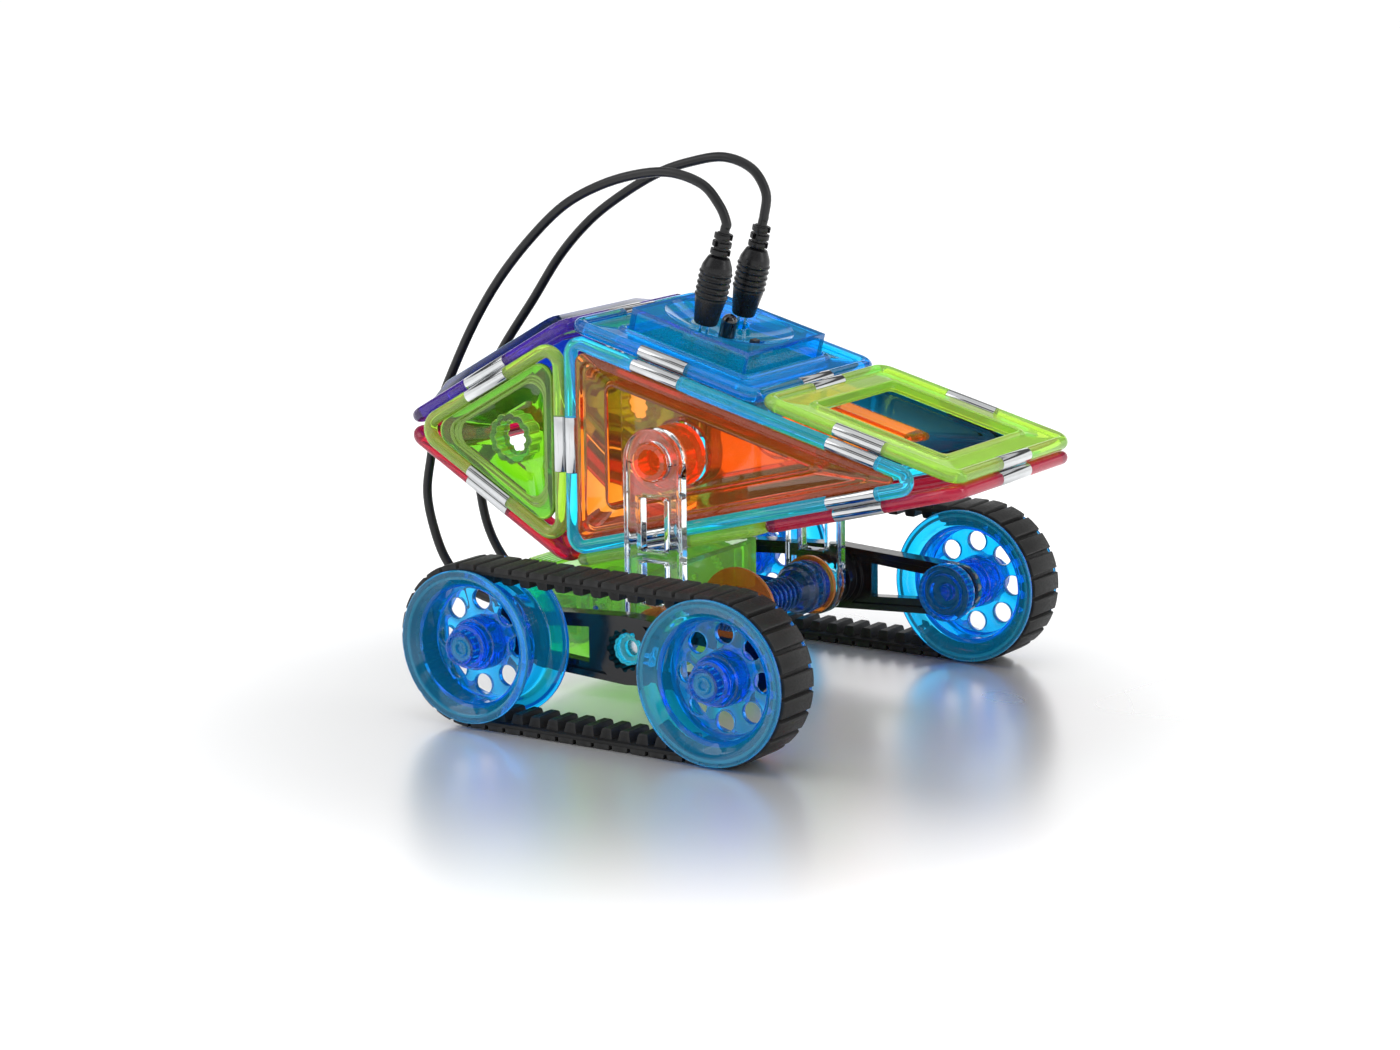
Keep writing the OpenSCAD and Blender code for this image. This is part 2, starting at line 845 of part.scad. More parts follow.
module compound_gear(side) {
    color([0.9, 0.9, 0.86])
        difference() {
            union() {
                side_gear(side, compound_x, compound_z, layer_a_y, gear_w, big_t, train_b);
                side_gear(side, compound_x, compound_z, layer_b_y - 0.6, gear_w + 0.9, small_t, train_a + 180);
            }
            sideways(side, compound_x, layer_a_y - 1, compound_z)
                cylinder(h = 10, r = pin_r + run_gap);
        }
}

module gear_pins() {
    color([0.7, 0.7, 0.72])
        for (side = [-1, 1])
            sideways(side, compound_x, layer_a_y - 0.6, compound_z)
                cylinder(h = box_w / 2 + 0.8 - layer_a_y, r = pin_r);
}

// ---- Axles ----
module axle_shaft(side, x, y0) {
    sideways(side, x, y0, axle_z)
        cylinder(h = knob_y - y0, r = axle_r);
    sideways(side, x, axle_hub_y, axle_z)
        cylinder(h = axle_hub_l, r = axle_hub_r);
    sideways(side, x, knob_y, axle_z) {
        cylinder(h = 2.6, r = 6.6);
        cylinder(h = 6.2, r = 5.3);
    }
}

module rear_axle(side) {
    color([0.04, 0.35, 0.85]) {
        axle_shaft(side, rear_axle_x, 22);
        side_gear(side, rear_axle_x, axle_z, layer_b_y, gear_w, final_t, train_a + 180 / final_t);
    }
}

module front_axle(side) {
    color([0.04, 0.35, 0.85])
        axle_shaft(side, front_axle_x, axle_hub_y);
}

module centre_axle() {
    color([0.75, 0.76, 0.78])
        translate([mid_axle_x, 0, axle_z])
            rotate([90, 0, 0]) {
                cylinder(h = 2 * (beam_in_y + beam_t) - 2, r = 2.5, center = true);
                for (side = [-1, 1])
                    translate([0, 0, side * (beam_in_y + 2.5)])
                        cylinder(h = 4, r = 4.9, center = true);
            }
}

module axle_spacers() {
    profile = [[2.5, 1], [7.5, 1], [7.2, 2.2], [4.6, 8], [4.4, 29], [6.6, 31], [8, 33.5], [8.2, 35],
        [8.2, 40.8], [5.1, 40.8], [5.1, 47.8], [2.5, 47.8]];
    color([0.05, 0.2, 0.6])
        for (side = [-1, 1])
            sideways(side, mid_axle_x, 0, axle_z)
                rotate_extrude()
                    polygon(profile);
}

module axle_rings() {
    color([0.85, 0.4, 0.08]) {
        translate([mid_axle_x, 0, axle_z])
            rotate([90, 0, 0])
                difference() {
                    cylinder(h = 1.4, r = 13.4, center = true);
                    cylinder(h = 3, r = 2.55, center = true);
                }
        for (side = [-1, 1])
            sideways(side, mid_axle_x, 40.9, axle_z)
                difference() {
                    cylinder(h = 1.4, r = 9.4);
                    translate([0, 0, -1])
                        cylinder(h = 4, r = 5.15);
                }
    }
}

// ---- Wheels, beams, links ----
// Spool wheel about Z: the large flange starts at Z = 0
module wheel() {
    web_in = 10.8;
    web_out = 9;
    hub_r = 8.2;
    profile = [[big_flange_r - 1.8, 0], [big_flange_r, 0], [big_flange_r, flange_t], [drum_r, flange_t + 0.6],
        [drum_r, wheel_w - flange_t - 0.6], [small_flange_r, wheel_w - flange_t], [small_flange_r, wheel_w],
        [small_flange_r - 1.6, wheel_w], [18.4, wheel_w - 1.8], [17.6, web_in], [hub_r, web_in],
        [hub_r - 0.4, wheel_w - 3.6], [axle_r, wheel_w - 3.6], [axle_r, 3.6], [hub_r - 0.4, 3.6],
        [hub_r, web_out], [17.6, web_out], [18.4, 1.8]];
    difference() {
        rotate_extrude($fn = 96)
            polygon(profile);
        for (a = [0:45:315])
            rotate(a)
                translate([13, 0, web_out - 1])
                    cylinder(h = 4, r = 3.1);
    }
}

module wheel_at(side, x, big_outside) {
    color([0.04, 0.45, 0.88])
        translate([x, side * (big_outside ? wheel_out_y : wheel_in_y), axle_z])
            rotate([(big_outside ? 1 : -1) * side * 90, 0, 0])
                wheel();
}

// Tapered side beam with a lobed centre socket and two windows
module track_beam(side) {
    arm = wheelbase / 2;
    end_r = 8;
    mid_r = 10.4;
    rim = 2;
    color([0.05, 0.05, 0.06])
        translate([mid_axle_x, side * (beam_in_y + beam_t / 2), axle_z])
            rotate([90, 0, 0])
                difference() {
                    union() {
                        linear_extrude(beam_t, center = true)
                            beam_outline(arm, mid_r, end_r);
                        translate([0, 0, side * beam_t / 2])
                            cylinder(h = 8, r = 8.6, center = true);
                    }
                    for (face = [-1, 1])
                        translate([0, 0, face * (beam_t - 1)])
                            linear_extrude(beam_t, center = true)
                                difference() {
                                    beam_outline(arm, mid_r - rim, end_r - rim);
                                    circle(mid_r);
                                    for (x = [-arm, arm])
                                        translate([x, 0])
                                            circle(end_r);
                                }
                    linear_extrude(40, center = true)
                        lobed_circle(5.6, 0.9);
                    linear_extrude(20, center = true)
                        for (dir = [-1, 1])
                            polygon([[dir * 13.5, -5.4], [dir * 33, -4], [dir * 33, 4], [dir * 13.5, 5.4]]);
                    for (x = [-arm, arm])
                        translate([x, 0, 0])
                            cylinder(h = 20, r = axle_r + run_gap, center = true);
                }
}

module beam_outline(arm, mid_r, end_r) {
    circle(mid_r);
    for (x = [-arm, arm])
        translate([x, 0])
            circle(end_r);
    polygon([[-arm, -end_r], [0, -mid_r], [arm, -end_r], [arm, end_r], [0, mid_r], [-arm, end_r]]);
}

// Clear ladder link between the hull's bush and the centre axle
module hull_link(side) {
    rail_gap = 4.6;
    color([0.85, 0.92, 0.95, 0.5])
        translate([mid_axle_x, side * link_y, axle_z])
            rotate([90, 0, 0])
                linear_extrude(link_t, center = true)
                    difference() {
                        union() {
                            circle(link_r);
                            translate([0, hull_height])
                                circle(link_r);
                            translate([-link_r, 0])
                                square([2 * link_r, hull_height]);
                        }
                        circle(hub_bore_r);
                        translate([0, hull_height])
                            circle(hub_bore_r + 0.4);
                        translate([-rail_gap, 11])
                            square([2 * rail_gap, 12.5]);
                        translate([-rail_gap, 27])
                            square([2 * rail_gap, 16]);
                    }
}

module link_bushes() {
    color([0.95, 0.3, 0.03])
        for (side = [-1, 1])
            sideways(side, mid_axle_x, 32, hull_z)
                difference() {
                    union() {
                        cylinder(h = 10, r = bush_r);
                        cylinder(h = 16, r = 5.5);
                    }
                    translate([0, 0, 1.2])
                        cylinder(h = 20, r = 3.9);
                }
}

// ---- Track belts ----
module stadium(r) {
    for (x = [-wheelbase / 2, wheelbase / 2])
        translate([x, 0])
            circle(r, $fn = 96);
    square([wheelbase, 2 * r], center = true);
}

// Places its child at a distance s along the loop of radius r, with Y pointing outwards
module on_loop(s, r) {
    arc = PI * r;
    if (s < wheelbase)
        translate([s - wheelbase / 2, r])
            children();
    else if (s < wheelbase + arc)
        translate([wheelbase / 2, 0])
            rotate(-(s - wheelbase) / r * 180 / PI)
                translate([0, r])
                    children();
    else if (s < 2 * wheelbase + arc)
        translate([wheelbase / 2 - (s - wheelbase - arc), -r])
            rotate(180)
                children();
    else
        translate([-wheelbase / 2, 0])
            rotate(180 - (s - 2 * wheelbase - arc) / r * 180 / PI)
                translate([0, r])
                    children();
}

module track_belt(side) {
    base_r = belt_r - 1.5;
    loop = 2 * wheelbase + 2 * PI * base_r;
    pitch = loop / belt_ribs;
    lug_h = belt_in_r - lug_in_r;
    color([0.1, 0.1, 0.1])
        translate([mid_axle_x, side * belt_mid_y, axle_z])
            rotate([90, 0, 0]) {
                linear_extrude(belt_w, center = true)
                    difference() {
                        stadium(belt_r);
                        stadium(belt_in_r);
                        for (k = [0:belt_ribs - 1])
                            on_loop((k + 0.5) * pitch, base_r)
                                translate([-groove_w / 2, belt_r - base_r - groove_depth])
                                    square([groove_w, groove_depth + 1]);
                    }
                linear_extrude(belt_w - 5, center = true)
                    for (k = [0:belt_ribs - 1])
                        on_loop(k * pitch, base_r)
                            translate([-lug_w / 2, belt_in_r - base_r - lug_h])
                                square([lug_w, lug_h + 0.3]);
            }
}

side_frame(true);  // side_frame_right
side_frame(false);  // side_frame_left
side_panel(true);  // side_panel_right
side_panel(false);  // side_panel_left
rear_side_frame(true);  // rear_side_frame_right
rear_side_frame(false);  // rear_side_frame_left
rear_side_panel(true);  // rear_side_panel_right
rear_side_panel(false);  // rear_side_panel_left
top_frame();
nose_top_frame();
rear_top_frame();
rear_top_panel();
rear_bottom_frame();
belly_frame();
nose_bottom_frame();
steel_sleeves();
tile_magnets();
receiver_cover();
receiver_case();
circuit_board();
infrared_dome();
status_lamp();
power_switch();
battery_cells();
battery_contacts();
battery_door();
case_screws();
plug(-1);  // plug_right
plug(1);  // plug_left
cable(-1, route_right);  // cable_right
cable(1, route_left);  // cable_left
cable_grommets();
drive_box_lower();
drive_box_upper();
motor(-1);  // motor_right
motor(1);  // motor_left
pinion(-1);  // pinion_right
pinion(1);  // pinion_left
compound_gear(-1);  // compound_gear_right
compound_gear(1);  // compound_gear_left
gear_pins();
rear_axle(-1);  // rear_axle_right
rear_axle(1);  // rear_axle_left
box_screws();
wheel_at(-1, rear_axle_x, false);  // rear_wheel_right
wheel_at(1, rear_axle_x, true);  // rear_wheel_left
wheel_at(-1, front_axle_x, true);  // front_wheel_right
wheel_at(1, front_axle_x, false);  // front_wheel_left
front_axle(-1);  // front_axle_right
front_axle(1);  // front_axle_left
track_beam(-1);  // track_beam_right
track_beam(1);  // track_beam_left
track_belt(-1);  // track_belt_right
track_belt(1);  // track_belt_left
hull_link(-1);  // hull_link_right
hull_link(1);  // hull_link_left
link_bushes();
centre_axle();
axle_spacers();
axle_rings();
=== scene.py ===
"""Tracked rover built from translucent magnetic construction tiles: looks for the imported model.

Lengths inside the shape builders are millimetres in the row frame; make() turns them into metres.
"""

import json
import math

import bmesh
import bpy
from mathutils import Matrix, Vector


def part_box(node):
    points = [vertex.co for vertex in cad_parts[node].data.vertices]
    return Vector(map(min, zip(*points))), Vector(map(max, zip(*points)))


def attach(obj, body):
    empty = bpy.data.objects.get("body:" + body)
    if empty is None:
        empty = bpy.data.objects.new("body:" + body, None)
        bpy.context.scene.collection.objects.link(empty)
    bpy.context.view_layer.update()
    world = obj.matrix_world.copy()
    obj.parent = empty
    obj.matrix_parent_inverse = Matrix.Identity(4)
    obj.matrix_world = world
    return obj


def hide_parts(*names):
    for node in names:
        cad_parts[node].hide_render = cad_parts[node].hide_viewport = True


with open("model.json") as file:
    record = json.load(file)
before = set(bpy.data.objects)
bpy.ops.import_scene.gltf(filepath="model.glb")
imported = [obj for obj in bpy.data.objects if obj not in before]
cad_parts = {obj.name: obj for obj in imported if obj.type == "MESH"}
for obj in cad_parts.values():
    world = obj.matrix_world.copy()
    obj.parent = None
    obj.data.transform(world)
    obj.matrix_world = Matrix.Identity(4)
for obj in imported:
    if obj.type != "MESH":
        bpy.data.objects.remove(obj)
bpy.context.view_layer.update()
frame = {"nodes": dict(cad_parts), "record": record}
nodes = frame["nodes"]
MM = 0.001
SIDES = {"right": -1, "left": 1}


# ---- places from the frame ----
def node_box(name):
    low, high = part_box(name)
    return low / MM, high / MM


def node_middle(name):
    low, high = node_box(name)
    return (low + high) / 2


TILE = 70.0
HALF = TILE / 2
TUBE_R = 2.1
TUBE_INSET = TUBE_R + 0.05
NECK_R = TUBE_R - 0.25
SLEEVE_R = TUBE_R + 0.04
SLEEVE_L = 17.0
TILE_LIFT = 1.75
SIDE_X = node_box("side_frame_right")[0].x - 0.02
HULL_Z = node_middle("side_frame_right").z
SIDE_Y = -node_middle("side_frame_right").y
AXLE_Z = node_middle("centre_axle").z
MID_X = node_middle("centre_axle").x
REAR_X = node_middle("rear_wheel_right").x
FRONT_X = node_middle("front_wheel_right").x
WHEEL_LOW, WHEEL_HIGH = node_box("front_wheel_right")
WHEEL_W = WHEEL_HIGH.y - WHEEL_LOW.y
WHEEL_IN_Y = -WHEEL_HIGH.y
BELT_R = AXLE_Z
NOSE_X = math.sqrt((2 * TILE) ** 2 - HALF ** 2)
TAIL_X = -TILE * math.sqrt(0.75)
NOSE_SLOPE = math.atan2(HALF, NOSE_X)
TAIL_SLOPE = math.radians(30)


# ---- camera ----
VIEW_AZIMUTH = math.radians(33.575)
VIEW_ELEVATION = math.radians(11.745)
VIEW_ROLL = math.radians(-0.644)
VIEW_PLACE = Vector((0.6066, -0.9326, 0.2829))
LENS_MM = 95.26


def make_camera():
    """Camera fitted to the photo, looking back along the view's azimuth, elevation and roll."""
    data = bpy.data.cameras.new("camera")
    data.lens = LENS_MM
    data.clip_start = 0.01
    camera = bpy.data.objects.new("camera", data)
    flat = math.cos(VIEW_ELEVATION)
    back = Vector((math.sin(VIEW_AZIMUTH) * flat, -math.cos(VIEW_AZIMUTH) * flat, math.sin(VIEW_ELEVATION)))
    right = (-back).cross(Vector((0, 0, 1))).normalized()
    up = back.cross(right)
    turn = Matrix((right, up, back)).transposed().to_4x4() @ Matrix.Rotation(VIEW_ROLL, 4, "Z")
    camera.matrix_world = Matrix.Translation(VIEW_PLACE) @ turn
    bpy.context.scene.collection.objects.link(camera)
    bpy.context.scene.camera = camera


make_camera()


# ---- material nodes ----
class Graph:
    """Short hand for the node tree of one material."""

    def __init__(self, name):
        self.material = bpy.data.materials.new(name)
        self.material.use_nodes = True
        self.tree = self.material.node_tree
        self.tree.nodes.clear()
        self.out = self.add("ShaderNodeOutputMaterial")
        self.place = self.add("ShaderNodeTexCoord").outputs["Object"]

    def add(self, kind, **settings):
        node = self.tree.nodes.new(kind)
        for key, value in settings.items():
            setattr(node, key, value)
        return node

    def link(self, source, target):
        self.tree.links.new(source, target)

    def noise(self, scale, detail, distortion=0.0, stretch=None):
        """Noise in the piece's own space, squeezed along its axes by stretch."""
        source = self.place
        if stretch:
            mapping = self.add("ShaderNodeMapping")
            mapping.inputs["Scale"].default_value = stretch
            self.link(source, mapping.inputs["Vector"])
            source = mapping.outputs[0]
        node = self.add("ShaderNodeTexNoise")
        node.inputs["Scale"].default_value = scale
        node.inputs["Detail"].default_value = detail
        node.inputs["Distortion"].default_value = distortion
        self.link(source, node.inputs["Vector"])
        return node.outputs["Fac"]

    def ramp(self, factor, stops):
        """Colour ramp over (place, colour) stops."""
        node = self.add("ShaderNodeValToRGB")
        ends = node.color_ramp.elements
        while len(ends) < len(stops):
            ends.new(0.5)
        for end, (place, colour) in zip(ends, stops):
            end.position = place
            end.color = (*colour, 1)
        self.link(factor, node.inputs["Fac"])
        return node.outputs["Color"]

    def spread(self, factor, low, high):
        """The middle of a noise mapped to low..high."""
        node = self.add("ShaderNodeMapRange")
        node.inputs["From Min"].default_value = 0.3
        node.inputs["From Max"].default_value = 0.7
        node.inputs["To Min"].default_value = low
        node.inputs["To Max"].default_value = high
        self.link(factor, node.inputs["Value"])
        return node.outputs["Result"]

    def bump(self, height, depth_mm):
        node = self.add("ShaderNodeBump")
        node.inputs["Strength"].default_value = 1.0
        node.inputs["Distance"].default_value = depth_mm * MM
        self.link(height, node.inputs["Height"])
        return node.outputs["Normal"]

    def surface(self, shader):
        self.link(shader, self.out.inputs["Surface"])
        return self.material


def tinted(colour, share):
    """The colour moved towards white by share."""
    return tuple(c + (1 - c) * share for c in colour)


def shaded(colour, factor):
    """The colour scaled by factor."""
    return tuple(c * factor for c in colour)


def translucent(name, tint, depth_tint, depth_mm=4.0, body=0.04, rough=0.03, painted_glow=0.0):
    """Clear tinted plastic: tint at the skin, depth_tint for light that crosses depth_mm of it; painted_glow
    is painted light, an emission in the tint.
    """
    g = Graph(name)
    flow = g.noise(45, 2, 0.6)
    fine = g.noise(900, 2)
    shader = g.add("ShaderNodeBsdfPrincipled")
    g.link(g.ramp(flow, [(0.3, shaded(tint, 0.94)), (0.7, tinted(tint, 0.06))]), shader.inputs["Base Color"])
    g.link(g.spread(fine, rough * 0.6, rough * 1.6), shader.inputs["Roughness"])
    g.link(g.bump(flow, 0.02), shader.inputs["Normal"])
    shader.inputs["IOR"].default_value = 1.45
    shader.inputs["Transmission Weight"].default_value = 1.0 - body
    # Painted glow: emission in the tint makes the plastic shine as if lit from inside, though it is no lamp.
    shader.inputs["Emission Color"].default_value = (*tint, 1)
    shader.inputs["Emission Strength"].default_value = painted_glow
    clear = g.add("ShaderNodeBsdfTransparent")
    clear.inputs["Color"].default_value = (*tinted(tint, 0.25), 1)
    path = g.add("ShaderNodeLightPath")
    either = g.add("ShaderNodeMath", operation="MAXIMUM")
    g.link(path.outputs["Is Shadow Ray"], either.inputs[0])
    g.link(path.outputs["Is Diffuse Ray"], either.inputs[1])
    mix = g.add("ShaderNodeMixShader")
    g.link(either.outputs[0], mix.inputs["Fac"])
    g.link(shader.outputs[0], mix.inputs[1])
    g.link(clear.outputs[0], mix.inputs[2])
    loss = [-math.log(max(c, 0.004)) / (depth_mm * MM) for c in depth_tint]
    inside = g.add("ShaderNodeVolumeAbsorption")
    inside.inputs["Density"].default_value = max(loss)
    inside.inputs["Color"].default_value = (*[1 - x / max(loss) for x in loss], 1)
    g.link(inside.outputs[0], g.out.inputs["Volume"])
    return g.surface(mix.outputs[0])


def opaque(name, low, high, rough=(0.3, 0.5), grain=300, depth_mm=0.02, metal=0.0, coat=0.0, stretch=None,
           wear=None, shine=0.5):
    """Solid plastic, rubber or metal with mottled colour, roughness and grain."""
    g = Graph(name)
    cloud = g.noise(60, 4, 0.3)
    fine = g.noise(grain, 4, 0.0, stretch)
    shader = g.add("ShaderNodeBsdfPrincipled")
    colour = g.ramp(cloud, [(0.35, low), (0.65, high)])
    if wear:
        mix = g.add("ShaderNodeMix", data_type="RGBA")  # the wear colour, on edges only
        edge = g.add("ShaderNodeMapRange")
        edge.inputs["From Min"].default_value = 0.52
        edge.inputs["From Max"].default_value = 0.62
        g.link(g.add("ShaderNodeNewGeometry").outputs["Pointiness"], edge.inputs["Value"])
        g.link(edge.outputs["Result"], mix.inputs["Factor"])
        g.link(colour, mix.inputs["A"])
        mix.inputs["B"].default_value = (*wear, 1)
        colour = mix.outputs["Result"]
    g.link(colour, shader.inputs["Base Color"])
    g.link(g.spread(fine, *rough), shader.inputs["Roughness"])
    g.link(g.bump(fine, depth_mm), shader.inputs["Normal"])
    shader.inputs["Metallic"].default_value = metal
    shader.inputs["Specular IOR Level"].default_value = shine
    shader.inputs["Coat Weight"].default_value = coat
    shader.inputs["Coat Roughness"].default_value = 0.08
    return g.surface(shader.outputs[0])


# Every painted_glow value is painted light: emission that makes the plastic shine though it is no lamp.
LOOKS = {
    "cyan_frame": translucent("cyan_plastic", (0.08, 0.84, 0.98), (0.02, 0.60, 0.90), 7.0, painted_glow=0.12),
    "lime_frame": translucent("lime_plastic", (0.68, 0.88, 0.20), (0.50, 0.80, 0.04), 5.0, body=0.2,
                              painted_glow=0.03),
    "purple_frame": translucent("purple_plastic", (0.48, 0.24, 0.92), (0.20, 0.06, 0.60), painted_glow=0.04),
    "crimson_frame": translucent("crimson_plastic", (0.86, 0.02, 0.14), (0.60, 0.004, 0.05), body=0.2,
                                 painted_glow=0.03),
    "blue_housing": translucent("blue_plastic", (0.02, 0.76, 1.0), (0.005, 0.46, 0.94), 6.0, painted_glow=0.04),
    "orange_panel": translucent("orange_plastic", (0.96, 0.50, 0.15), (0.90, 0.30, 0.02), 3.0, painted_glow=0.03),
    "teal_panel": translucent("teal_plastic", (0.02, 0.17, 0.25), (0.01, 0.10, 0.16), 3.0),
    "lime_panel": translucent("lime_panel_plastic", (0.34, 0.74, 0.04), (0.18, 0.60, 0.01), 4.0,
                              body=0.1),
    "deep_blue_panel": translucent("deep_blue_plastic", (0.015, 0.24, 0.80), (0.004, 0.10, 0.55), 2.0),
    "lime_box": translucent("box_plastic", (0.66, 0.94, 0.34), (0.50, 0.86, 0.14), 3.0, body=0.12,
                            painted_glow=0.04),
    "blue_wheel": translucent("wheel_plastic", (0.02, 0.66, 0.98), (0.005, 0.38, 0.92), 5.0, painted_glow=0.05),
    "blue_axle": translucent("axle_plastic", (0.03, 0.66, 1.0), (0.005, 0.32, 0.88), 5.0, painted_glow=0.03),
    "blue_spacer": translucent("spacer_plastic", (0.03, 0.52, 0.92), (0.005, 0.22, 0.70), 5.0, painted_glow=0.01),
    "orange_bush": translucent("bush_plastic", (1.0, 0.44, 0.08), (0.95, 0.24, 0.01), painted_glow=0.08),
    "orange_ring": translucent("ring_plastic", (0.95, 0.40, 0.06), (0.75, 0.18, 0.01), body=0.3),
    "clear_link": translucent("clear_plastic", (0.97, 0.985, 0.99), (0.90, 0.95, 0.97), 10.0, body=0.0,
                              rough=0.02),
    "lamp_lens": translucent("lamp_plastic", (0.86, 0.97, 0.85), (0.75, 0.93, 0.72), body=0.25),
    # Glowing copies of the plastics, painted light: edge light painted on bevel lines, rims, hole lips and
    # the axle knob ends; the orange copy also covers the left panel's whole pocket.
    "orange_painted_glow": translucent("orange_painted_glow_plastic", (0.98, 0.42, 0.04), (0.92, 0.30, 0.02), 3.0,
                               body=0.15, painted_glow=0.05),
    "lime_painted_glow": translucent("lime_painted_glow_plastic", (0.56, 0.90, 0.12), (0.42, 0.84, 0.05), 3.0, body=0.2,
                             painted_glow=0.10),
    "blue_painted_glow": translucent("blue_painted_glow_plastic", (0.06, 0.50, 1.0), (0.03, 0.35, 0.95), 3.0, body=0.2,
                             painted_glow=0.08),
    "cyan_painted_glow": translucent("cyan_painted_glow_plastic", (0.02, 0.62, 0.95), (0.01, 0.45, 0.90), 3.0, body=0.15,
                             painted_glow=0.10),
    "dark_dome": opaque("dome_plastic", (0.004, 0.003, 0.004), (0.009, 0.006, 0.008), (0.03, 0.06), 500,
                        0.005, coat=0.5),
    "steel_sleeve": opaque("chrome_steel", (0.50, 0.51, 0.52), (0.60, 0.61, 0.62), (0.07, 0.13), 700,
                           0.004, metal=1.0),
    "magnet": opaque("magnet_nickel", (0.5, 0.5, 0.52), (0.62, 0.62, 0.64), (0.25, 0.4), 800, 0.01,
                     metal=1.0),
    "plated_steel": opaque("plated_steel", (0.62, 0.62, 0.6), (0.75, 0.75, 0.73), (0.2, 0.35), 900, 0.01,
                           metal=1.0),
    "motor_can": opaque("motor_steel", (0.55, 0.56, 0.58), (0.7, 0.71, 0.73), (0.2, 0.35), 500, 0.01,
                        metal=1.0, stretch=(1, 8, 1)),
    "steel_axle": opaque("axle_steel", (0.5, 0.51, 0.53), (0.66, 0.67, 0.69), (0.18, 0.3), 500, 0.01,
                         metal=1.0, stretch=(8, 1, 8)),
    "board": opaque("board_mask", (0.01, 0.09, 0.05), (0.02, 0.14, 0.08), (0.2, 0.35), 900, 0.02,
                    coat=0.3),
    "black_plastic": opaque("switch_plastic", (0.015, 0.013, 0.013), (0.03, 0.028, 0.028), (0.35, 0.5),
                            900, 0.02),
    "cell_can": opaque("cell_sleeve", (0.03, 0.03, 0.04), (0.06, 0.06, 0.07), (0.2, 0.35), 500, 0.01,
                       coat=0.4),
    "plug_rubber": opaque("plug_rubber", (0.004, 0.004, 0.005), (0.009, 0.009, 0.010), (0.24, 0.38),
                          1400, 0.012, shine=0.3),
    "cable_sheath": opaque("cable_rubber", (0.006, 0.006, 0.007), (0.012, 0.012, 0.013), (0.28, 0.4),
                           900, 0.01, shine=0.35),
    "gear_nylon": opaque("gear_nylon", (0.78, 0.78, 0.73), (0.88, 0.88, 0.83), (0.3, 0.45), 700, 0.01),
    "black_beam": opaque("beam_plastic", (0.003, 0.003, 0.004), (0.008, 0.008, 0.010), (0.10, 0.18), 600,
                         0.01, shine=0.45),
    "track_rubber": opaque("track_rubber", (0.005, 0.005, 0.005), (0.012, 0.012, 0.012), (0.40, 0.60),
                           1500, 0.03, wear=(0.025, 0.025, 0.025), shine=0.2),
    "pin_steel": opaque("pin_steel", (0.7, 0.7, 0.72), (0.8, 0.8, 0.82), (0.1, 0.2), 900, 0.005,
                        metal=1.0),
}


# ---- mesh builder ----
class Shape:
    """One piece: rings of points in millimetres, bridged and capped into closed skins."""

    def __init__(self, place=None):
        self.place = place or Matrix.Identity(4)
        self.points = []
        self.faces = []
        self.marks = []

    def ring(self, points):
        """Adds points and gives back their numbers."""
        start = len(self.points)
        self.points += [self.place @ Vector(p) for p in points]
        return list(range(start, len(self.points)))

    def face(self, corners, mark=0):
        self.faces.append(list(corners))
        self.marks.append(mark)

    def bridge(self, a, b, mark=0):
        """Band of quads between two closed rings of the same length."""
        for i in range(len(a)):
            j = (i + 1) % len(a)
            self.face((a[i], a[j], b[j], b[i]), mark)

    def loft(self, rings, closed=False, mark=0, marked=()):
        """Skin over the rings; the strips whose numbers are in marked take the second material."""
        made = [self.ring(r) for r in rings]
        for k, (a, b) in enumerate(zip(made, made[1:])):
            self.bridge(a, b, 1 if k in marked else mark)
        if closed:
            self.bridge(made[-1], made[0], 1 if len(made) - 1 in marked else mark)
        else:
            self.face(made[0], mark)
            self.face(made[-1], mark)

    def make(self, name, body, slot, replaces=(), crease=32, looks=None):
        """Builds the object, with edges sharper than crease degrees kept hard."""
        mesh = bpy.data.meshes.new(name)
        bm = bmesh.new()
        verts = [bm.verts.new(p * MM) for p in self.points]
        for corners, mark in zip(self.faces, self.marks):
            face = bm.faces.new([verts[i] for i in corners])
            face.material_index = mark
            face.smooth = True
        bmesh.ops.remove_doubles(bm, verts=bm.verts, dist=1e-7)
        bmesh.ops.recalc_face_normals(bm, faces=bm.faces)
        limit = math.radians(crease)
        for edge in bm.edges:
            edge.smooth = len(edge.link_faces) == 2 and edge.calc_face_angle(0) < limit
        bm.to_mesh(mesh)
        bm.free()
        for look in looks or [slot]:
            mesh.materials.append(LOOKS[look])
        piece = bpy.data.objects.new(name, mesh)
        bpy.context.scene.collection.objects.link(piece)
        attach(piece, body)
        if replaces:
            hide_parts(*replaces)
        return piece


def circle(radius, z, count, start=0.0):
    turns = [start + math.tau * k / count for k in range(count)]
    return [(radius * math.cos(a), radius * math.sin(a), z) for a in turns]


def corner_strips(count, steps, first=0):
    """Numbers of the strips that round the corners of a softened open profile of count points."""
    return {first + 1 + c * (steps + 1) + k for c in range(count - 2) for k in range(steps)}


def softened(profile, radius, steps=3, closed=False):
    """The open or closed profile with each corner rounded to at most radius."""
    made = []
    count = len(profile)
    for i, corner in enumerate(profile):
        corner = Vector(corner)
        if not closed and i in (0, count - 1):
            made.append(corner)
            continue
        to_last = Vector(profile[i - 1]) - corner
        to_next = Vector(profile[(i + 1) % count]) - corner
        reach = min(radius, to_last.length * 0.45, to_next.length * 0.45)
        a = corner + to_last.normalized() * reach
        b = corner + to_next.normalized() * reach
        for k in range(steps + 1):
            t = k / steps
            made.append(a * (1 - t) ** 2 + corner * 2 * t * (1 - t) + b * t ** 2)
    return made


# ---- tile outlines ----
def unit(v):
    return v / v.length


def edge_dir(p, i):
    return unit(p[(i + 1) % len(p)] - p[i])


def in_normal(p, i):
    """Unit normal of side i that points into the outline."""
    along = edge_dir(p, i % len(p))
    return Vector((-along.y, along.x))


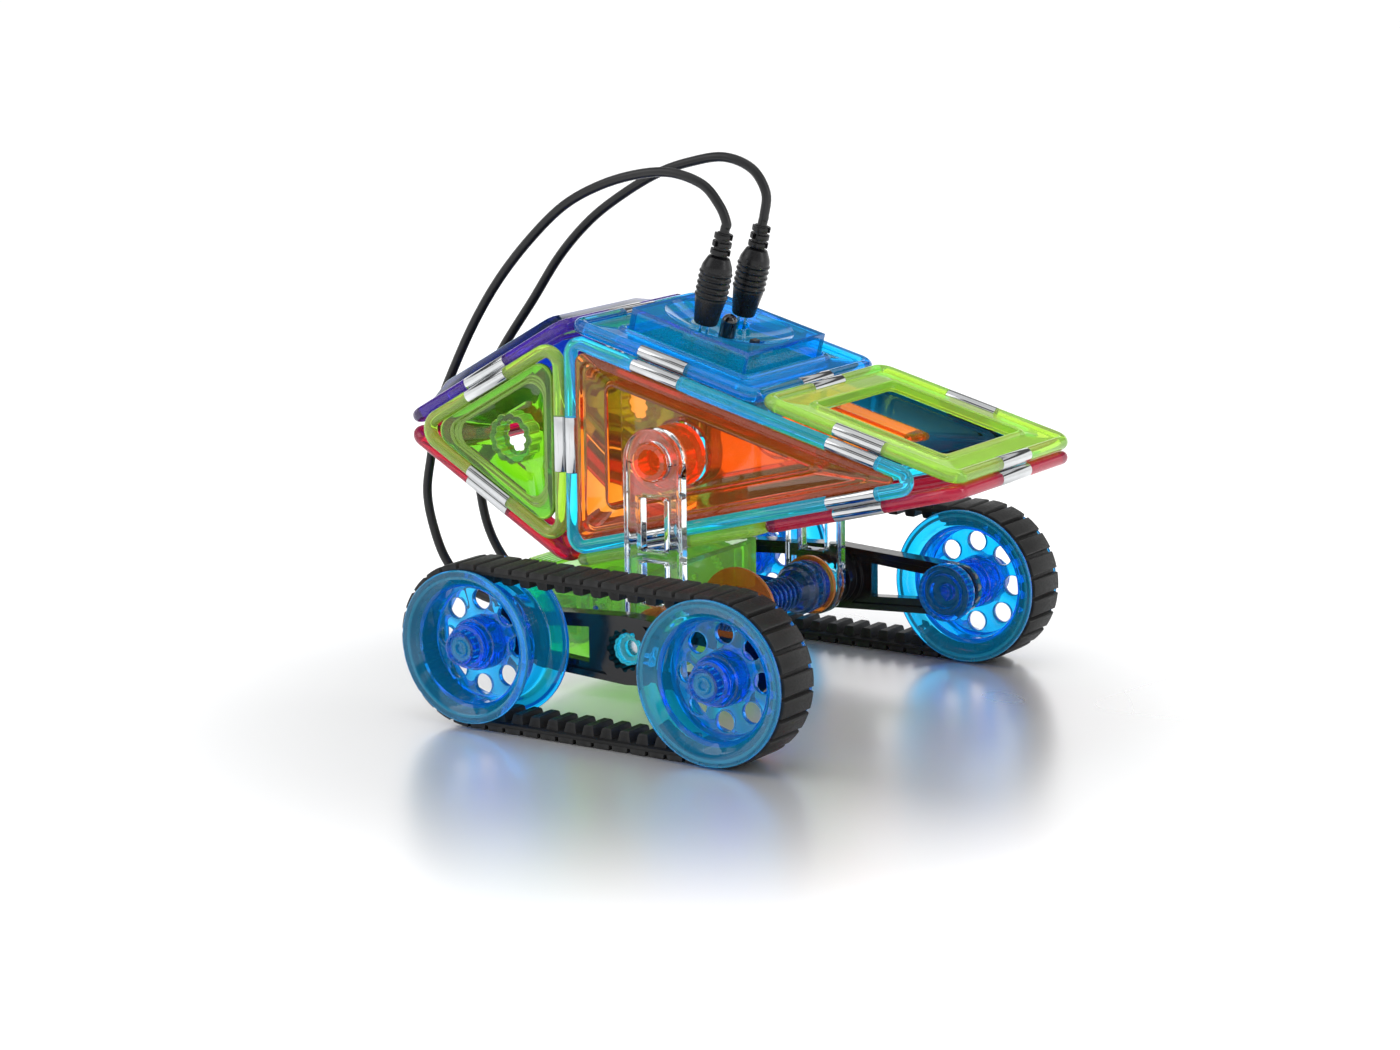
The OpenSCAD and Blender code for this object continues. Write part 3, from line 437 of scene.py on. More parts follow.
def corner_shift(p, i):
    """Way that corner i moves when its sides move in by one."""
    back, ahead = in_normal(p, i - 1), in_normal(p, i)
    return (back + ahead) / (1 + back.dot(ahead))


def inset(p, distance):
    return [p[i] + distance * corner_shift(p, i) for i in range(len(p))]


def turn(p, i):
    """Angle through which the outline turns at corner i."""
    return math.acos(max(-1, min(1, in_normal(p, i - 1).dot(in_normal(p, i)))))


def rounded(p, radii, steps, side_steps):
    """Outline p with arcs at its corners and side_steps lengths along each side."""
    arcs = []
    for i in range(len(p)):
        middle = p[i] + radii[i] * corner_shift(p, i)
        back = -in_normal(p, i - 1)
        start = math.atan2(back.y, back.x)
        arcs.append([middle + radii[i] * Vector((math.cos(start + turn(p, i) * j / steps),
                                                 math.sin(start + turn(p, i) * j / steps)))
                     for j in range(steps + 1)])
    made = []
    for i, arc in enumerate(arcs):
        made += arc
        ahead = arcs[(i + 1) % len(arcs)][0]
        made += [arc[-1].lerp(ahead, k / side_steps) for k in range(1, side_steps)]
    return made


def lifted(points, z):
    return [(q.x, q.y, z) for q in points]


KITE = [Vector((0, -HALF)), Vector((NOSE_X, 0)), Vector((0, HALF))]
KITE_R = [3.6, 2.6, 3.6]
TRIANGLE = [Vector((TAIL_X, 0)), Vector((0, -HALF)), Vector((0, HALF))]
TRIANGLE_R = [4.6, 4.6, 4.6]
SQUARE = [Vector((0, -HALF)), Vector((TILE, -HALF)), Vector((TILE, HALF)), Vector((0, HALF))]
SQUARE_R = [3.6, 3.6, 3.6, 3.6]


def mirrored(axis, on):
    """Mirror across the named axis, or no change."""
    sizes = [1, 1, 1, 1]
    if on:
        sizes["XYZ".index(axis)] = -1
    return Matrix.Diagonal(sizes)


HULL = Matrix.Translation((SIDE_X, 0, HULL_Z))


def on_side(side):
    """Plane of a side tile: X to the nose, Y up, Z out."""
    return (mirrored("Y", side == "left") @ HULL @ Matrix.Translation((0, -SIDE_Y, 0))
            @ Matrix.Rotation(math.radians(90), 4, "X"))


def on_nose(along, below=False, lift=TILE_LIFT):
    """Plane of a tile on the nose's slope, a distance along it."""
    return (HULL @ mirrored("Z", below) @ Matrix.Translation((0, 0, HALF))
            @ Matrix.Rotation(NOSE_SLOPE, 4, "Y") @ Matrix.Translation((along, 0, lift)))


def on_tail(below=False):
    """Plane of a tile on the tail's slope."""
    return (HULL @ mirrored("Z", below) @ Matrix.Translation((TAIL_X, 0, 0))
            @ Matrix.Rotation(-TAIL_SLOPE, 4, "Y") @ Matrix.Translation((0, 0, TILE_LIFT)))


SQUARE_TILES = {
    "top_frame": (on_nose(0), "blue_housing"),
    "nose_top_frame": (on_nose(TILE), "lime_frame"),
    "rear_top_frame": (on_tail(), "purple_frame"),
    "rear_bottom_frame": (on_tail(True), "crimson_frame"),
    "belly_frame": (on_nose(0, True), "lime_frame"),
    "nose_bottom_frame": (on_nose(TILE, True), "crimson_frame"),
}


# ---- tile frames and sleeves ----
def sleeve_places(p):
    """(side, middle, direction, inward normal) of each sleeve round an outline."""
    made = []
    for i in range(len(p)):
        side = (p[(i + 1) % len(p)] - p[i]).length
        count = round(side / TILE)
        for k in range(count):
            middle = p[i] + edge_dir(p, i) * side * (k + 0.5) / count + in_normal(p, i) * TUBE_INSET
            made.append((i, middle, edge_dir(p, i), in_normal(p, i)))
    return made


def tube_path(p, radii):
    """(point, inward normal, tube radius) along a border tube that necks in under its sleeves."""
    steps = 12
    centre = inset(p, TUBE_INSET)
    ramp = 0.12
    made = []
    for i in range(len(p)):
        middle = centre[i] + radii[i] * corner_shift(p, i)
        back = -in_normal(p, i - 1)
        start = math.atan2(back.y, back.x)
        for j in range(steps + 1):
            a = start + turn(p, i) * j / steps
            out = Vector((math.cos(a), math.sin(a)))
            made.append((middle + radii[i] * out, -out, TUBE_R))
        for _, place, along, inward in [s for s in sleeve_places(p) if s[0] == i]:
            for shift, radius in ((-SLEEVE_L / 2 - ramp, TUBE_R), (-SLEEVE_L / 2, NECK_R),
                                  (SLEEVE_L / 2, NECK_R), (SLEEVE_L / 2 + ramp, TUBE_R)):
                made.append((place + along * shift, inward, radius))
    return made


def tube_ring(centre, inward, radius, around):
    """Circle across a tube that runs in the tile's plane."""
    turns = [math.tau * k / around for k in range(around)]
    return [(*(centre + inward * radius * math.cos(a)), radius * math.sin(a)) for a in turns]


def add_tube(shape, p, radii):
    rings = [tube_ring(point, inward, radius, 28) for point, inward, radius in tube_path(p, radii)]
    shape.loft(rings, closed=True)


WINDOW = 45.0
FLANGE_IN = 3.75


def square_tile(node, place, slot):
    """Border tube, flat flange and rounded lip round the window."""
    shape = Shape(place)
    add_tube(shape, SQUARE, SQUARE_R)
    edge = (TILE - WINDOW) / 2
    front = [(FLANGE_IN, 0.8), (edge - 1.6, 0.8), (edge - 1.3, 1.8), (edge, 1.8)]
    back = [(d, -z) for d, z in front[::-1]]
    shape.loft([lifted(rounded(inset(SQUARE, d), [2.2] * 4, 6, 2), z)
                for d, z in softened(front + back, 0.55, 3, closed=True)], closed=True)
    shape.make(node + "_shell", "root", slot, [node])


for tile, (tile_place, tile_slot) in SQUARE_TILES.items():
    square_tile(tile, tile_place, tile_slot)

for hand in SIDES:
    kite = Shape(on_side(hand))
    add_tube(kite, KITE, KITE_R)
    kite.make(f"side_frame_{hand}_tube", "root", "cyan_frame", [f"side_frame_{hand}"])
    triangle = Shape(on_side(hand))
    add_tube(triangle, TRIANGLE, TRIANGLE_R)
    triangle.make(f"rear_side_frame_{hand}_tube", "root", "lime_frame", [f"rear_side_frame_{hand}"])


def add_sleeves(shape, p):
    """Rolled steel sleeve with soft rims round each neck of a border tube."""
    half = SLEEVE_L / 2
    corners = [(NECK_R, -half), (SLEEVE_R, -half), (SLEEVE_R, half), (NECK_R, half)]
    profile = softened(corners, 0.12, 3, closed=True)
    for _, middle, along, inward in sleeve_places(p):
        shape.loft([tube_ring(middle + along * shift, inward, radius, 40) for radius, shift in profile],
                   closed=True)


sleeves = Shape()
for hand in SIDES:
    sleeves.place = on_side(hand)
    add_sleeves(sleeves, KITE)
    add_sleeves(sleeves, TRIANGLE)
for tile_place, _ in SQUARE_TILES.values():
    sleeves.place = tile_place
    add_sleeves(sleeves, SQUARE)
sleeves.make("steel_sleeve_set", "root", "steel_sleeve", ["steel_sleeves"])


# ---- tile panels ----
PANEL_WALL = 1.2
POCKET_FLOOR = -11.0
SOCKET_FLOOR = -4.2
SOCKET_R = 4.9
SOCKET_LOBES = 12
SOCKET_LOBE = 0.8
BUSH_HOLE_R = 9.7
BUSH_X = MID_X - SIDE_X


def hole_ring(outline, centre, radius, z, lobes=0, lobe_depth=0.0):
    """Ring round a hole, one point for each point of the outline and at its angle."""
    made = []
    for q in outline:
        a = math.atan2(q.y - centre.y, q.x - centre.x)
        r = radius + lobe_depth * abs(math.cos(a * lobes / 2)) if lobes else radius
        made.append((centre.x + r * math.cos(a), centre.y + r * math.sin(a), z))
    return made


def side_panel(hand, slot, second, whole_pocket):
    """Bevelled tray with a deep pocket, and a collar in it round the bush.

    The second look, a copy with painted glow, covers the whole pocket, or else paints three lines of edge
    light along the bevels.
    """
    shape = Shape(on_side(hand))
    centre = Vector((BUSH_X, 0))
    floor, below = POCKET_FLOOR, POCKET_FLOOR - PANEL_WALL
    deep = [(12.9, floor), (12.6, floor), (12.6, -3.6), (11.6, -3.6), (11.4, -4.3)]
    slope = [(7.3, 0.1), (6.5, 0.1), (6.2, 1.2), (4.5, 1.2), (4.3, 0.9), (4.3, -0.4)]
    back = [(11.0, -5.5), (11.4, below), (12.9, below)]
    steps = 2
    outlines = []
    for d, z in softened(deep + slope + back, 0.3, steps):
        radii = [3.2, 1.2, 3.2] if d < 12 else [1.6, 0.5, 1.6]
        outlines.append((rounded(inset(KITE, d), radii, 8, 40), z))
    collar_r = BUSH_HOLE_R + 1.1
    collar_top = -4.6
    collar = [hole_ring(outlines[0][0], centre, radius, z) for radius, z in
              ((BUSH_HOLE_R, below), (BUSH_HOLE_R, collar_top), (collar_r, collar_top), (collar_r, floor))]
    rings = collar + [lifted(outline, z) for outline, z in outlines]
    first = len(collar) + 1
    corner = steps + 1
    if whole_pocket:
        front = first + 2 * corner
        behind = first + (len(deep + slope) - 1) * corner
        marked = set(range(front)) | set(range(behind, len(rings)))
    else:
        corners = corner_strips(len(deep + slope + back), steps, len(collar))
        marked = {k for k in corners if (k - first) // corner in (2, 3, 8)}
    shape.loft(rings, closed=True, marked=marked)
    shape.make(f"side_panel_{hand}_tray", "root", slot, [f"side_panel_{hand}"], looks=[slot, second])


def rear_side_panel(hand):
    """Bevelled tray with a scalloped collar round a lobed hole."""
    shape = Shape(on_side(hand))
    centre = Vector((TAIL_X / 3, 0))
    floor, below = SOCKET_FLOOR, SOCKET_FLOOR - PANEL_WALL
    tray = [(11.8, floor), (8.0, 0.4), (7.2, 0.4), (6.8, 1.2), (4.6, 1.2), (4.35, 0.9), (4.35, -0.4),
            (12.3, below)]
    outlines = [(rounded(inset(TRIANGLE, d), TRIANGLE_R, 8, 40), z) for d, z in softened(tray, 0.4, 2)]
    section = [(SOCKET_R, below), (SOCKET_R, 1.0), (SOCKET_R + 0.3, 1.3), (7.0, 1.3), (7.3, 1.0),
               (7.3, floor)]
    collar = [hole_ring(outlines[0][0], centre, r, z, SOCKET_LOBES, SOCKET_LOBE) for r, z in section]
    # Collar rims and tray bevel corners take the lime copy with painted glow: painted edge light.
    shape.loft(collar + [lifted(o, z) for o, z in outlines], closed=True,
               marked={0, 1, 3, 4} | corner_strips(len(tray), 2, len(collar)))
    shape.make(f"rear_side_panel_{hand}_tray", "root", "lime_panel", [f"rear_side_panel_{hand}"],
               looks=["lime_panel", "lime_painted_glow"])


def rear_top_panel():
    """Raised bevelled lid: a frustum shell with a soft edge round its flat top."""
    shape = Shape(on_tail())
    top = 6.3
    under = top - PANEL_WALL
    outer = softened([(4.4, 0.9), (5.4, 1.9), (11.0, top), (16.0, top)], 0.4, 3)
    inner = softened([(16.0, under), (12.0, under), (6.0, 0.9)], 0.4, 3)
    rings = [lifted(rounded(inset(SQUARE, d), [2.5] * 4, 6, 4), z) for d, z in outer[::-1] + inner[::-1]]
    # The rounded bevel strips take the blue copy with painted glow: painted edge light.
    shape.loft(rings, marked=corner_strips(4, 3))
    shape.make("rear_top_panel_lid", "root", "deep_blue_panel", ["rear_top_panel"],
               looks=["deep_blue_panel", "blue_painted_glow"])


# Painted edge light: the right tray's bevel lines, and the left tray's whole pocket, take the orange copy
# with painted glow.
side_panel("right", "orange_panel", "orange_painted_glow", False)
side_panel("left", "teal_panel", "orange_painted_glow", True)
for hand in SIDES:
    rear_side_panel(hand)
rear_top_panel()


# ---- wheels ----
HOLES = 8
SECTOR_STEPS = 16
WHEEL_STEPS = HOLES * SECTOR_STEPS
HOLE_R = 3.1
HOLE_AT = 13.0
HOLE_LIP = 0.3
DRUM_R = 19.0
WEB_LOW = 9.0
WEB_HIGH = 10.8


def lathe_rings(shape, profile):
    """Rings of a turned profile; each hole's sector starts on a point of them."""
    return [shape.ring(circle(r, z, WHEEL_STEPS, -math.pi / HOLES)) for r, z in profile]


def holed_face(shape, outer, inner, outer_r, inner_r, z, inward):
    """Flat annulus between two lathe rings with round holes; returns each hole's deepest ring."""
    side_steps = 9
    rays = []
    for k in range(HOLES):
        a = -math.pi / HOLES + math.tau * k / HOLES
        radii = [outer_r + (inner_r - outer_r) * j / (side_steps + 1) for j in range(1, side_steps + 1)]
        rays.append(shape.ring([(r * math.cos(a), r * math.sin(a), z) for r in radii]))
    holes = []
    count = len(outer)
    for k in range(HOLES):
        first = k * SECTOR_STEPS
        arc = [(first + j) % count for j in range(SECTOR_STEPS + 1)]
        outline = ([outer[j] for j in arc] + rays[(k + 1) % HOLES] + [inner[j] for j in arc[::-1]]
                   + rays[k][::-1])
        a = math.tau * k / HOLES
        centre = Vector((HOLE_AT * math.cos(a), HOLE_AT * math.sin(a)))
        back = shape.place.inverted()
        angles = []
        for index in outline:
            local = back @ shape.points[index]
            angles.append(math.atan2(local.y - centre.y, local.x - centre.x))
        hole_rings = []
        for wider, deeper in ((HOLE_LIP, 0.0), (HOLE_LIP * 0.3, HOLE_LIP * 0.3), (0.0, HOLE_LIP)):
            radius = HOLE_R + wider
            height = z + inward * deeper
            hole_rings.append(shape.ring([(centre.x + radius * math.cos(b), centre.y + radius * math.sin(b),
                                           height) for b in angles]))
        shape.bridge(outline, hole_rings[0])
        # The rounded hole lips take the cyan copy with painted glow: a painted highlight round each hole.
        shape.bridge(hole_rings[0], hole_rings[1], 1)
        shape.bridge(hole_rings[1], hole_rings[2], 1)
        holes.append(hole_rings[2])
    return holes


def wheel(name, side, x, big_outside):
    """Spool wheel: a stepped dish on each side of a web with eight round holes."""
    face_y = side * (WHEEL_IN_Y + WHEEL_W if big_outside else WHEEL_IN_Y)
    angle = math.radians(90) * side * (1 if big_outside else -1)
    shape = Shape(Matrix.Translation((x, face_y, AXLE_Z)) @ Matrix.Rotation(angle, 4, "X"))
    last = WHEEL_W
    outside = softened([(16.9, WEB_LOW), (17.4, 7.6), (17.7, 3.6), (20.4, 0.8), (22.6, 0.0), (24.4, 0.0),
                        (24.4, 1.3), (21.2, 1.9), (DRUM_R, 2.6), (DRUM_R, last - 2.6), (21.0, last - 1.9),
                        (23.2, last - 1.3), (23.2, last), (20.8, last), (17.7, last - 3.2), (16.9, WEB_HIGH)],
                       0.5, 3)
    hub = softened([(8.2, WEB_HIGH), (7.8, last - 4.4), (6.9, last - 4.1), (6.7, last - 4.7),
                    (5.6, last - 4.7), (5.4, last - 3.9), (2.5, last - 3.6), (2.5, 3.6), (5.4, 3.9),
                    (5.6, 4.7), (6.7, 4.7), (6.9, 4.1), (7.8, 4.4), (8.2, WEB_LOW)], 0.3, 3)
    rim = lathe_rings(shape, outside)
    core = lathe_rings(shape, hub)
    # Strips at the flange rims take the cyan copy with painted glow: painted edge light.
    painted_glow_rims = {k for k in corner_strips(16, 3) if (k - 1) // 4 in (3, 4, 11, 12)}
    for k, (a, b) in enumerate(zip(rim, rim[1:])):
        shape.bridge(a, b, 1 if k in painted_glow_rims else 0)
    for a, b in zip(core, core[1:]):
        shape.bridge(a, b)
    low = holed_face(shape, rim[0], core[-1], outside[0][0], hub[-1][0], WEB_LOW, 1)
    high = holed_face(shape, rim[-1], core[0], outside[-1][0], hub[0][0], WEB_HIGH, -1)
    for a, b in zip(low, high):
        shape.bridge(a, b)
    body = ("rear_drive_" if name.startswith("rear") else "front_idler_") + ("right" if side < 0 else "left")
    shape.make(name + "_moulding", body, "blue_wheel", [name], looks=["blue_wheel", "cyan_painted_glow"])


for hand, hand_side in SIDES.items():
    wheel(f"rear_wheel_{hand}", hand_side, REAR_X, hand == "left")
    wheel(f"front_wheel_{hand}", hand_side, FRONT_X, hand == "right")


# ---- track belts ----
RIBS = 50
WHEELBASE = FRONT_X - REAR_X
BELT_MID_R = BELT_R - 1.5
LOOP = 2 * WHEELBASE + math.tau * BELT_MID_R
PITCH = LOOP / RIBS
BELT_HALF_W = (WHEEL_W - 4.0) / 2
RIB_HALF = PITCH / 2 - 0.6


def on_loop(s, out, y):
    """Row-frame point a distance s along the belt, out from its middle line and y across it."""
    arc = math.pi * BELT_MID_R
    s %= LOOP
    if s < WHEELBASE:
        place, normal = Vector((REAR_X + s, AXLE_Z + BELT_MID_R)), Vector((0, 1))
    elif s < WHEELBASE + arc:
        a = math.pi / 2 - (s - WHEELBASE) / BELT_MID_R
        normal = Vector((math.cos(a), math.sin(a)))
        place = Vector((FRONT_X, AXLE_Z)) + normal * BELT_MID_R
    elif s < 2 * WHEELBASE + arc:
        place, normal = Vector((FRONT_X - (s - WHEELBASE - arc), AXLE_Z - BELT_MID_R)), Vector((0, -1))
    else:
        a = -math.pi / 2 - (s - 2 * WHEELBASE - arc) / BELT_MID_R
        normal = Vector((math.cos(a), math.sin(a)))
        place = Vector((REAR_X, AXLE_Z)) + normal * BELT_MID_R
    point = place + normal * out
    return (point.x, y, point.y)


def belt_block(shape, middle, y, layers):
    """Block along the belt at y; each layer is (out, half length along the belt, half width across it)."""
    steps = 4
    made = []
    for out, half_s, half_y in layers:
        ahead = [on_loop(middle + half_s * (2 * k / steps - 1), out, y + half_y) for k in range(steps + 1)]
        back = [on_loop(middle + half_s * (1 - 2 * k / steps), out, y - half_y) for k in range(steps + 1)]
        made.append(shape.ring(ahead + back))
    for a, b in zip(made, made[1:]):
        shape.bridge(a, b)
    for ring in (made[0], made[-1]):
        for k in range(steps):
            shape.face((ring[k], ring[k + 1], ring[2 * steps - k], ring[2 * steps + 1 - k]))


def track_belt(hand, side):
    """Thin band with blocky ribs outside and tapered drive lugs inside."""
    shape = Shape()
    y = side * (WHEEL_IN_Y + WHEEL_W / 2)
    w = BELT_HALF_W
    skin = softened([(-1.3, -w), (-1.3, w), (-0.1, w), (-0.1, -w)], 0.2, 2, closed=True)
    stations = [PITCH * k / 4 for k in range(RIBS * 4)]
    shape.loft([[on_loop(s, out, y + across) for out, across in skin] for s in stations], closed=True)
    rib = [(-0.4, RIB_HALF + 0.1, w), (0.9, RIB_HALF - 0.05, w), (1.3, RIB_HALF - 0.15, w - 0.15),
           (1.5, RIB_HALF - 0.45, w - 0.6)]
    lug = [(-1.1, 2.15, w - 2.3), (-1.6, 2.05, w - 2.4), (-3.9, 1.6, w - 2.8), (-4.25, 1.25, w - 3.1)]
    for k in range(RIBS):
        belt_block(shape, k * PITCH, y, rib)
        belt_block(shape, k * PITCH, y, lug)
    shape.make(f"track_belt_{hand}_rubber", "root", "track_rubber", [f"track_belt_{hand}"], crease=25)


for hand, hand_side in SIDES.items():
    track_belt(hand, hand_side)


# ---- axles and hubs ----
HUB_Y = -node_box("front_axle_right")[1].y
BEAM_IN_Y = HUB_Y + 4.8
KNOB_Y = WHEEL_IN_Y + WHEEL_W - 3.5
AXLE_R = 2.5
GEAR_Y = 23.8
GEAR_W = 3.0
GEAR_TEETH = 40
GEAR_ROOT_R = 9.45
GEAR_TIP_R = 10.42
GEAR_TURN = math.radians(3)  # puts a gap on the line to the compound gear, as in the CAD


def out_to(side, x, z):
    """Local Z points out of the given side, with its origin on the centre plane."""
    return Matrix.Translation((x, 0, z)) @ Matrix.Rotation(-side * math.radians(90), 4, "X")


def splines(shape, radius, reach, low, high, count):
    """Fine ribs along a round part."""
    half = 0.25 / radius
    for k in range(count):
        a = math.tau * k / count
        rings = []
        for z, grow in ((low, 0), (low + reach, reach), (high - reach, reach), (high, 0)):
            r = radius + grow
            rings.append([(q * math.cos(b), q * math.sin(b), z) for q, b in
                          ((radius - 0.3, a - half), (radius - 0.3, a + half), (r + 0.02, a + half * 0.6),
                           (r + 0.02, a - half * 0.6))])
        shape.loft(rings)


def axle_gear(shape, side):
    """Final gear of a rear axle."""
    root, tip = GEAR_ROOT_R, GEAR_TIP_R
    tooth = [(0, root), (0.22, root), (0.38, tip), (0.62, tip), (0.78, root)]
    outline = [(r, math.tau * (t + share) / GEAR_TEETH + side * GEAR_TURN)
               for t in range(GEAR_TEETH) for share, r in tooth]
    rim = [(r * math.cos(a), r * math.sin(a)) for r, a in outline]
    bore = [(2.4 * math.cos(a), 2.4 * math.sin(a)) for _, a in outline]
    far = GEAR_Y + GEAR_W
    shape.loft([[(*q, z) for q in ring]
                for ring, z in ((bore, GEAR_Y), (rim, GEAR_Y), (rim, far), (bore, far))], closed=True)


def axle(name, side, x, geared):
    """Moulded wheel axle: ringed inner hub, shaft and stepped outer knob."""
    shape = Shape(out_to(side, x, AXLE_Z))
    h, k = HUB_Y, KNOB_Y
    hub = [(2.6, h + 1.6), (4.6, h + 1.6), (4.8, h), (5.9, h), (6.1, h + 1.2), (7.3, h + 1.2), (7.5, h),
           (9.0, h), (9.0, h + 4.5), (AXLE_R, h + 4.5), (AXLE_R, k)]
    knob = [(6.6, k), (6.6, k + 2.6), (5.3, k + 2.7), (5.1, k + 5.9), (4.3, k + 6.2), (3.9, k + 5.2),
            (2.6, k + 5.0), (2.4, k + 5.7), (1.5, k + 5.7), (1.3, k + 4.6), (0.02, k + 4.6)]
    start = [(0.02, 22.0), (AXLE_R, 22.0)] if geared else [(0.02, h + 0.6), (2.3, h + 0.6)]
    path = softened(start + hub + knob, 0.25, 2)
    # The knob's end takes the cyan copy with painted glow.
    painted_glow_knob_end = set(range(len(path) - 14, len(path)))
    shape.loft([circle(r, z, 64) for r, z in path], marked=painted_glow_knob_end)
    splines(shape, 5.15, 0.35, k + 2.9, k + 5.4, 16)
    splines(shape, 9.0, 0.12, h + 0.5, h + 4.0, 30)
    if geared:
        axle_gear(shape, side)
    body = ("rear_drive_" if geared else "front_idler_") + ("right" if side < 0 else "left")
    shape.make(name + "_moulding", body, "blue_axle", [name], looks=["blue_axle", "cyan_painted_glow"])


for hand, hand_side in SIDES.items():
    axle(f"front_axle_{hand}", hand_side, FRONT_X, False)
    axle(f"rear_axle_{hand}", hand_side, REAR_X, True)


def axle_spacers():
    """Ribbed spool on each half of the centre axle, ending in a splined drum."""
    shape = Shape()
    for side in SIDES.values():
        shape.place = out_to(side, MID_X, AXLE_Z)
        profile = [(2.6, 1.0), (7.4, 1.0), (7.2, 2.2), (5.2, 6.0)]
        for k in range(8):
            z = 7.0 + 2.6 * k
            profile += [(4.5, z), (4.5, z + 1.2), (5.5, z + 1.4), (5.5, z + 2.2)]
        profile += [(4.5, 28.2), (4.6, 29.4), (6.6, 31), (7.2, 33.2), (8.1, 33.8), (8.2, 36.6), (7.6, 37.0),
                    (7.6, 37.8), (8.2, 38.2), (8.2, 40.8), (5.1, 40.8), (5.1, 47.8), (2.6, 47.8)]
        shape.loft([circle(r, z, 64) for r, z in softened(profile, 0.3, 2)], closed=True)
        splines(shape, 8.15, 0.2, 34.2, 36.4, 28)
    shape.make("axle_spacer_spools", "root", "blue_spacer", ["axle_spacers"])


axle_spacers()


def centre_axle():
    """Steel rod with a lobed plastic hub in each track beam's socket."""
    shape = Shape(out_to(1, MID_X, AXLE_Z))
    end = BEAM_IN_Y + 1.0
    half_rod = [(2.5, end - 0.5), (2.0, end), (0.02, end)]
    rod = softened([(r, -z) for r, z in half_rod[::-1]] + half_rod, 0.2, 2)
    shape.loft([circle(r, z, 40) for r, z in rod])
    for side in SIDES.values():
        shape.place = out_to(side, MID_X, AXLE_Z)
        low, high = BEAM_IN_Y + 0.5, BEAM_IN_Y + 4.5
        dish = high - 1.4
        profile = [(2.6, low), (4.9, low), (4.9, high), (4.1, high), (3.9, dish), (2.6, dish)]
        turns = [math.tau * k / 96 for k in range(96)]
        rings = []
        for r, z in softened(profile, 0.25, 2):
            wave = 0.35 if r > 4.5 else 0.0
            lobed = [r - wave * (1 - abs(math.cos(6 * a))) for a in turns]
            rings.append([(q * math.cos(a), q * math.sin(a), z) for q, a in zip(lobed, turns)])
        shape.loft(rings, closed=True, mark=1)
    shape.make("centre_axle_rod", "root", "steel_axle", ["centre_axle"], looks=["steel_axle", "cyan_frame"])


centre_axle()


# ---- plugs and cables ----
PLUG_Y = 10.5
PLUG_S = 33.0
PLUG_BASE = 9.6
PLUG_TOP = 38.6
CABLE_R = 1.5
GROMMET_REACH = 24.0
GROMMET_Z = -3.0
# (ahead of the long side tiles' rear edge, above the axles), from the plug to the drive box
ROUTES = {
    "right": [(40, 126), (34, 132), (23, 135), (11, 134), (-3, 130), (-17, 123), (-30, 112), (-42, 99),
              (-52, 85), (-61, 69), (-68, 54), (-71, 40), (-73, 28), (-71, 17), (-66, 6), (-57, -2),
              (-45, -5), (-34, -3)],
    "left": [(43, 128), (38, 135), (28, 138), (16, 136), (4, 132), (-9, 125), (-22, 116), (-34, 104),
             (-45, 89), (-57, 73), (-66, 58), (-70, 42), (-68, 27), (-65, 14), (-59, 4), (-50, -3),
             (-40, -5), (-32, -4)],
}


def on_receiver(side):
    """Foot of a plug on the receiver, with Z up through the plug."""
    return on_nose(PLUG_S, lift=PLUG_BASE) @ Matrix.Translation((0, side * PLUG_Y, 0))


def arc_block(shape, inner, outer, low, high, start, end):
    """Part of a ring between two angles, with softened rims."""
    steps = 12
    profile = softened([(inner, low), (outer, low), (outer, high), (inner, high)], 0.22, 2, closed=True)
    rings = []
    for k in range(steps + 1):
        a = start + (end - start) * k / steps
        rings.append([(r * math.cos(a), r * math.sin(a), z) for r, z in profile])
    shape.loft(rings)


def plug(hand, side):
    """Overmoulded plug: ribbed grip, notched strain relief and two pins."""
    shape = Shape(on_receiver(side))
    grip = [(0.01, 0), (3.2, 0), (3.6, 0.5), (4.1, 4.0), (4.75, 8.0)]
    for k in range(5):
        z = 8.6 + 1.8 * k
        grip += [(4.7, z), (5.1, z + 0.25), (5.1, z + 0.75), (4.75, z + 1.0)]
    end = PLUG_TOP - PLUG_BASE
    grip += [(4.75, 17.6), (4.5, 18.6), (3.3, 21.2), (2.2, 21.6), (2.0, 22), (2.0, end - 0.2), (1.6, end),
             (0.01, end)]
    shape.loft([circle(r, z, 40) for r, z in softened(grip, 0.25, 2)])
    gap = math.radians(26)
    for k in range(3):
        low = 22.1 + 2.45 * k
        for half in (0, math.pi):
            start = math.pi / 2 * (k % 2) + half + gap / 2
            arc_block(shape, 1.7, 3.1 - 0.12 * k, low, low + 1.6, start, start + math.pi - gap)
    body = shape.make(f"plug_{hand}_body", "root", "plug_rubber", [f"plug_{hand}"])
    pins = Shape(on_receiver(side))
    for x in (-1.3, 1.3):
        pins.loft([[(q[0] + x, q[1], q[2]) for q in circle(r, z, 16)]
                   for r, z in ((0.25, -5), (0.5, -4.6), (0.5, 0.4))])
    tips = pins.make(f"plug_{hand}_pins", "root", "plated_steel", looks=["pin_steel"])
    return [body, tips]


def route_point(points, i, t):
    """Smooth curve through the points, a share t of the way from point i to the next."""
    a, b = points[max(i - 1, 0)], points[i]
    c, d = points[i + 1], points[min(i + 2, len(points) - 1)]
    bend = t * t * (2 * a - 5 * b + 4 * c - d) + t ** 3 * (3 * b - 3 * c + d - a)
    return 0.5 * (2 * b + t * (c - a) + bend)


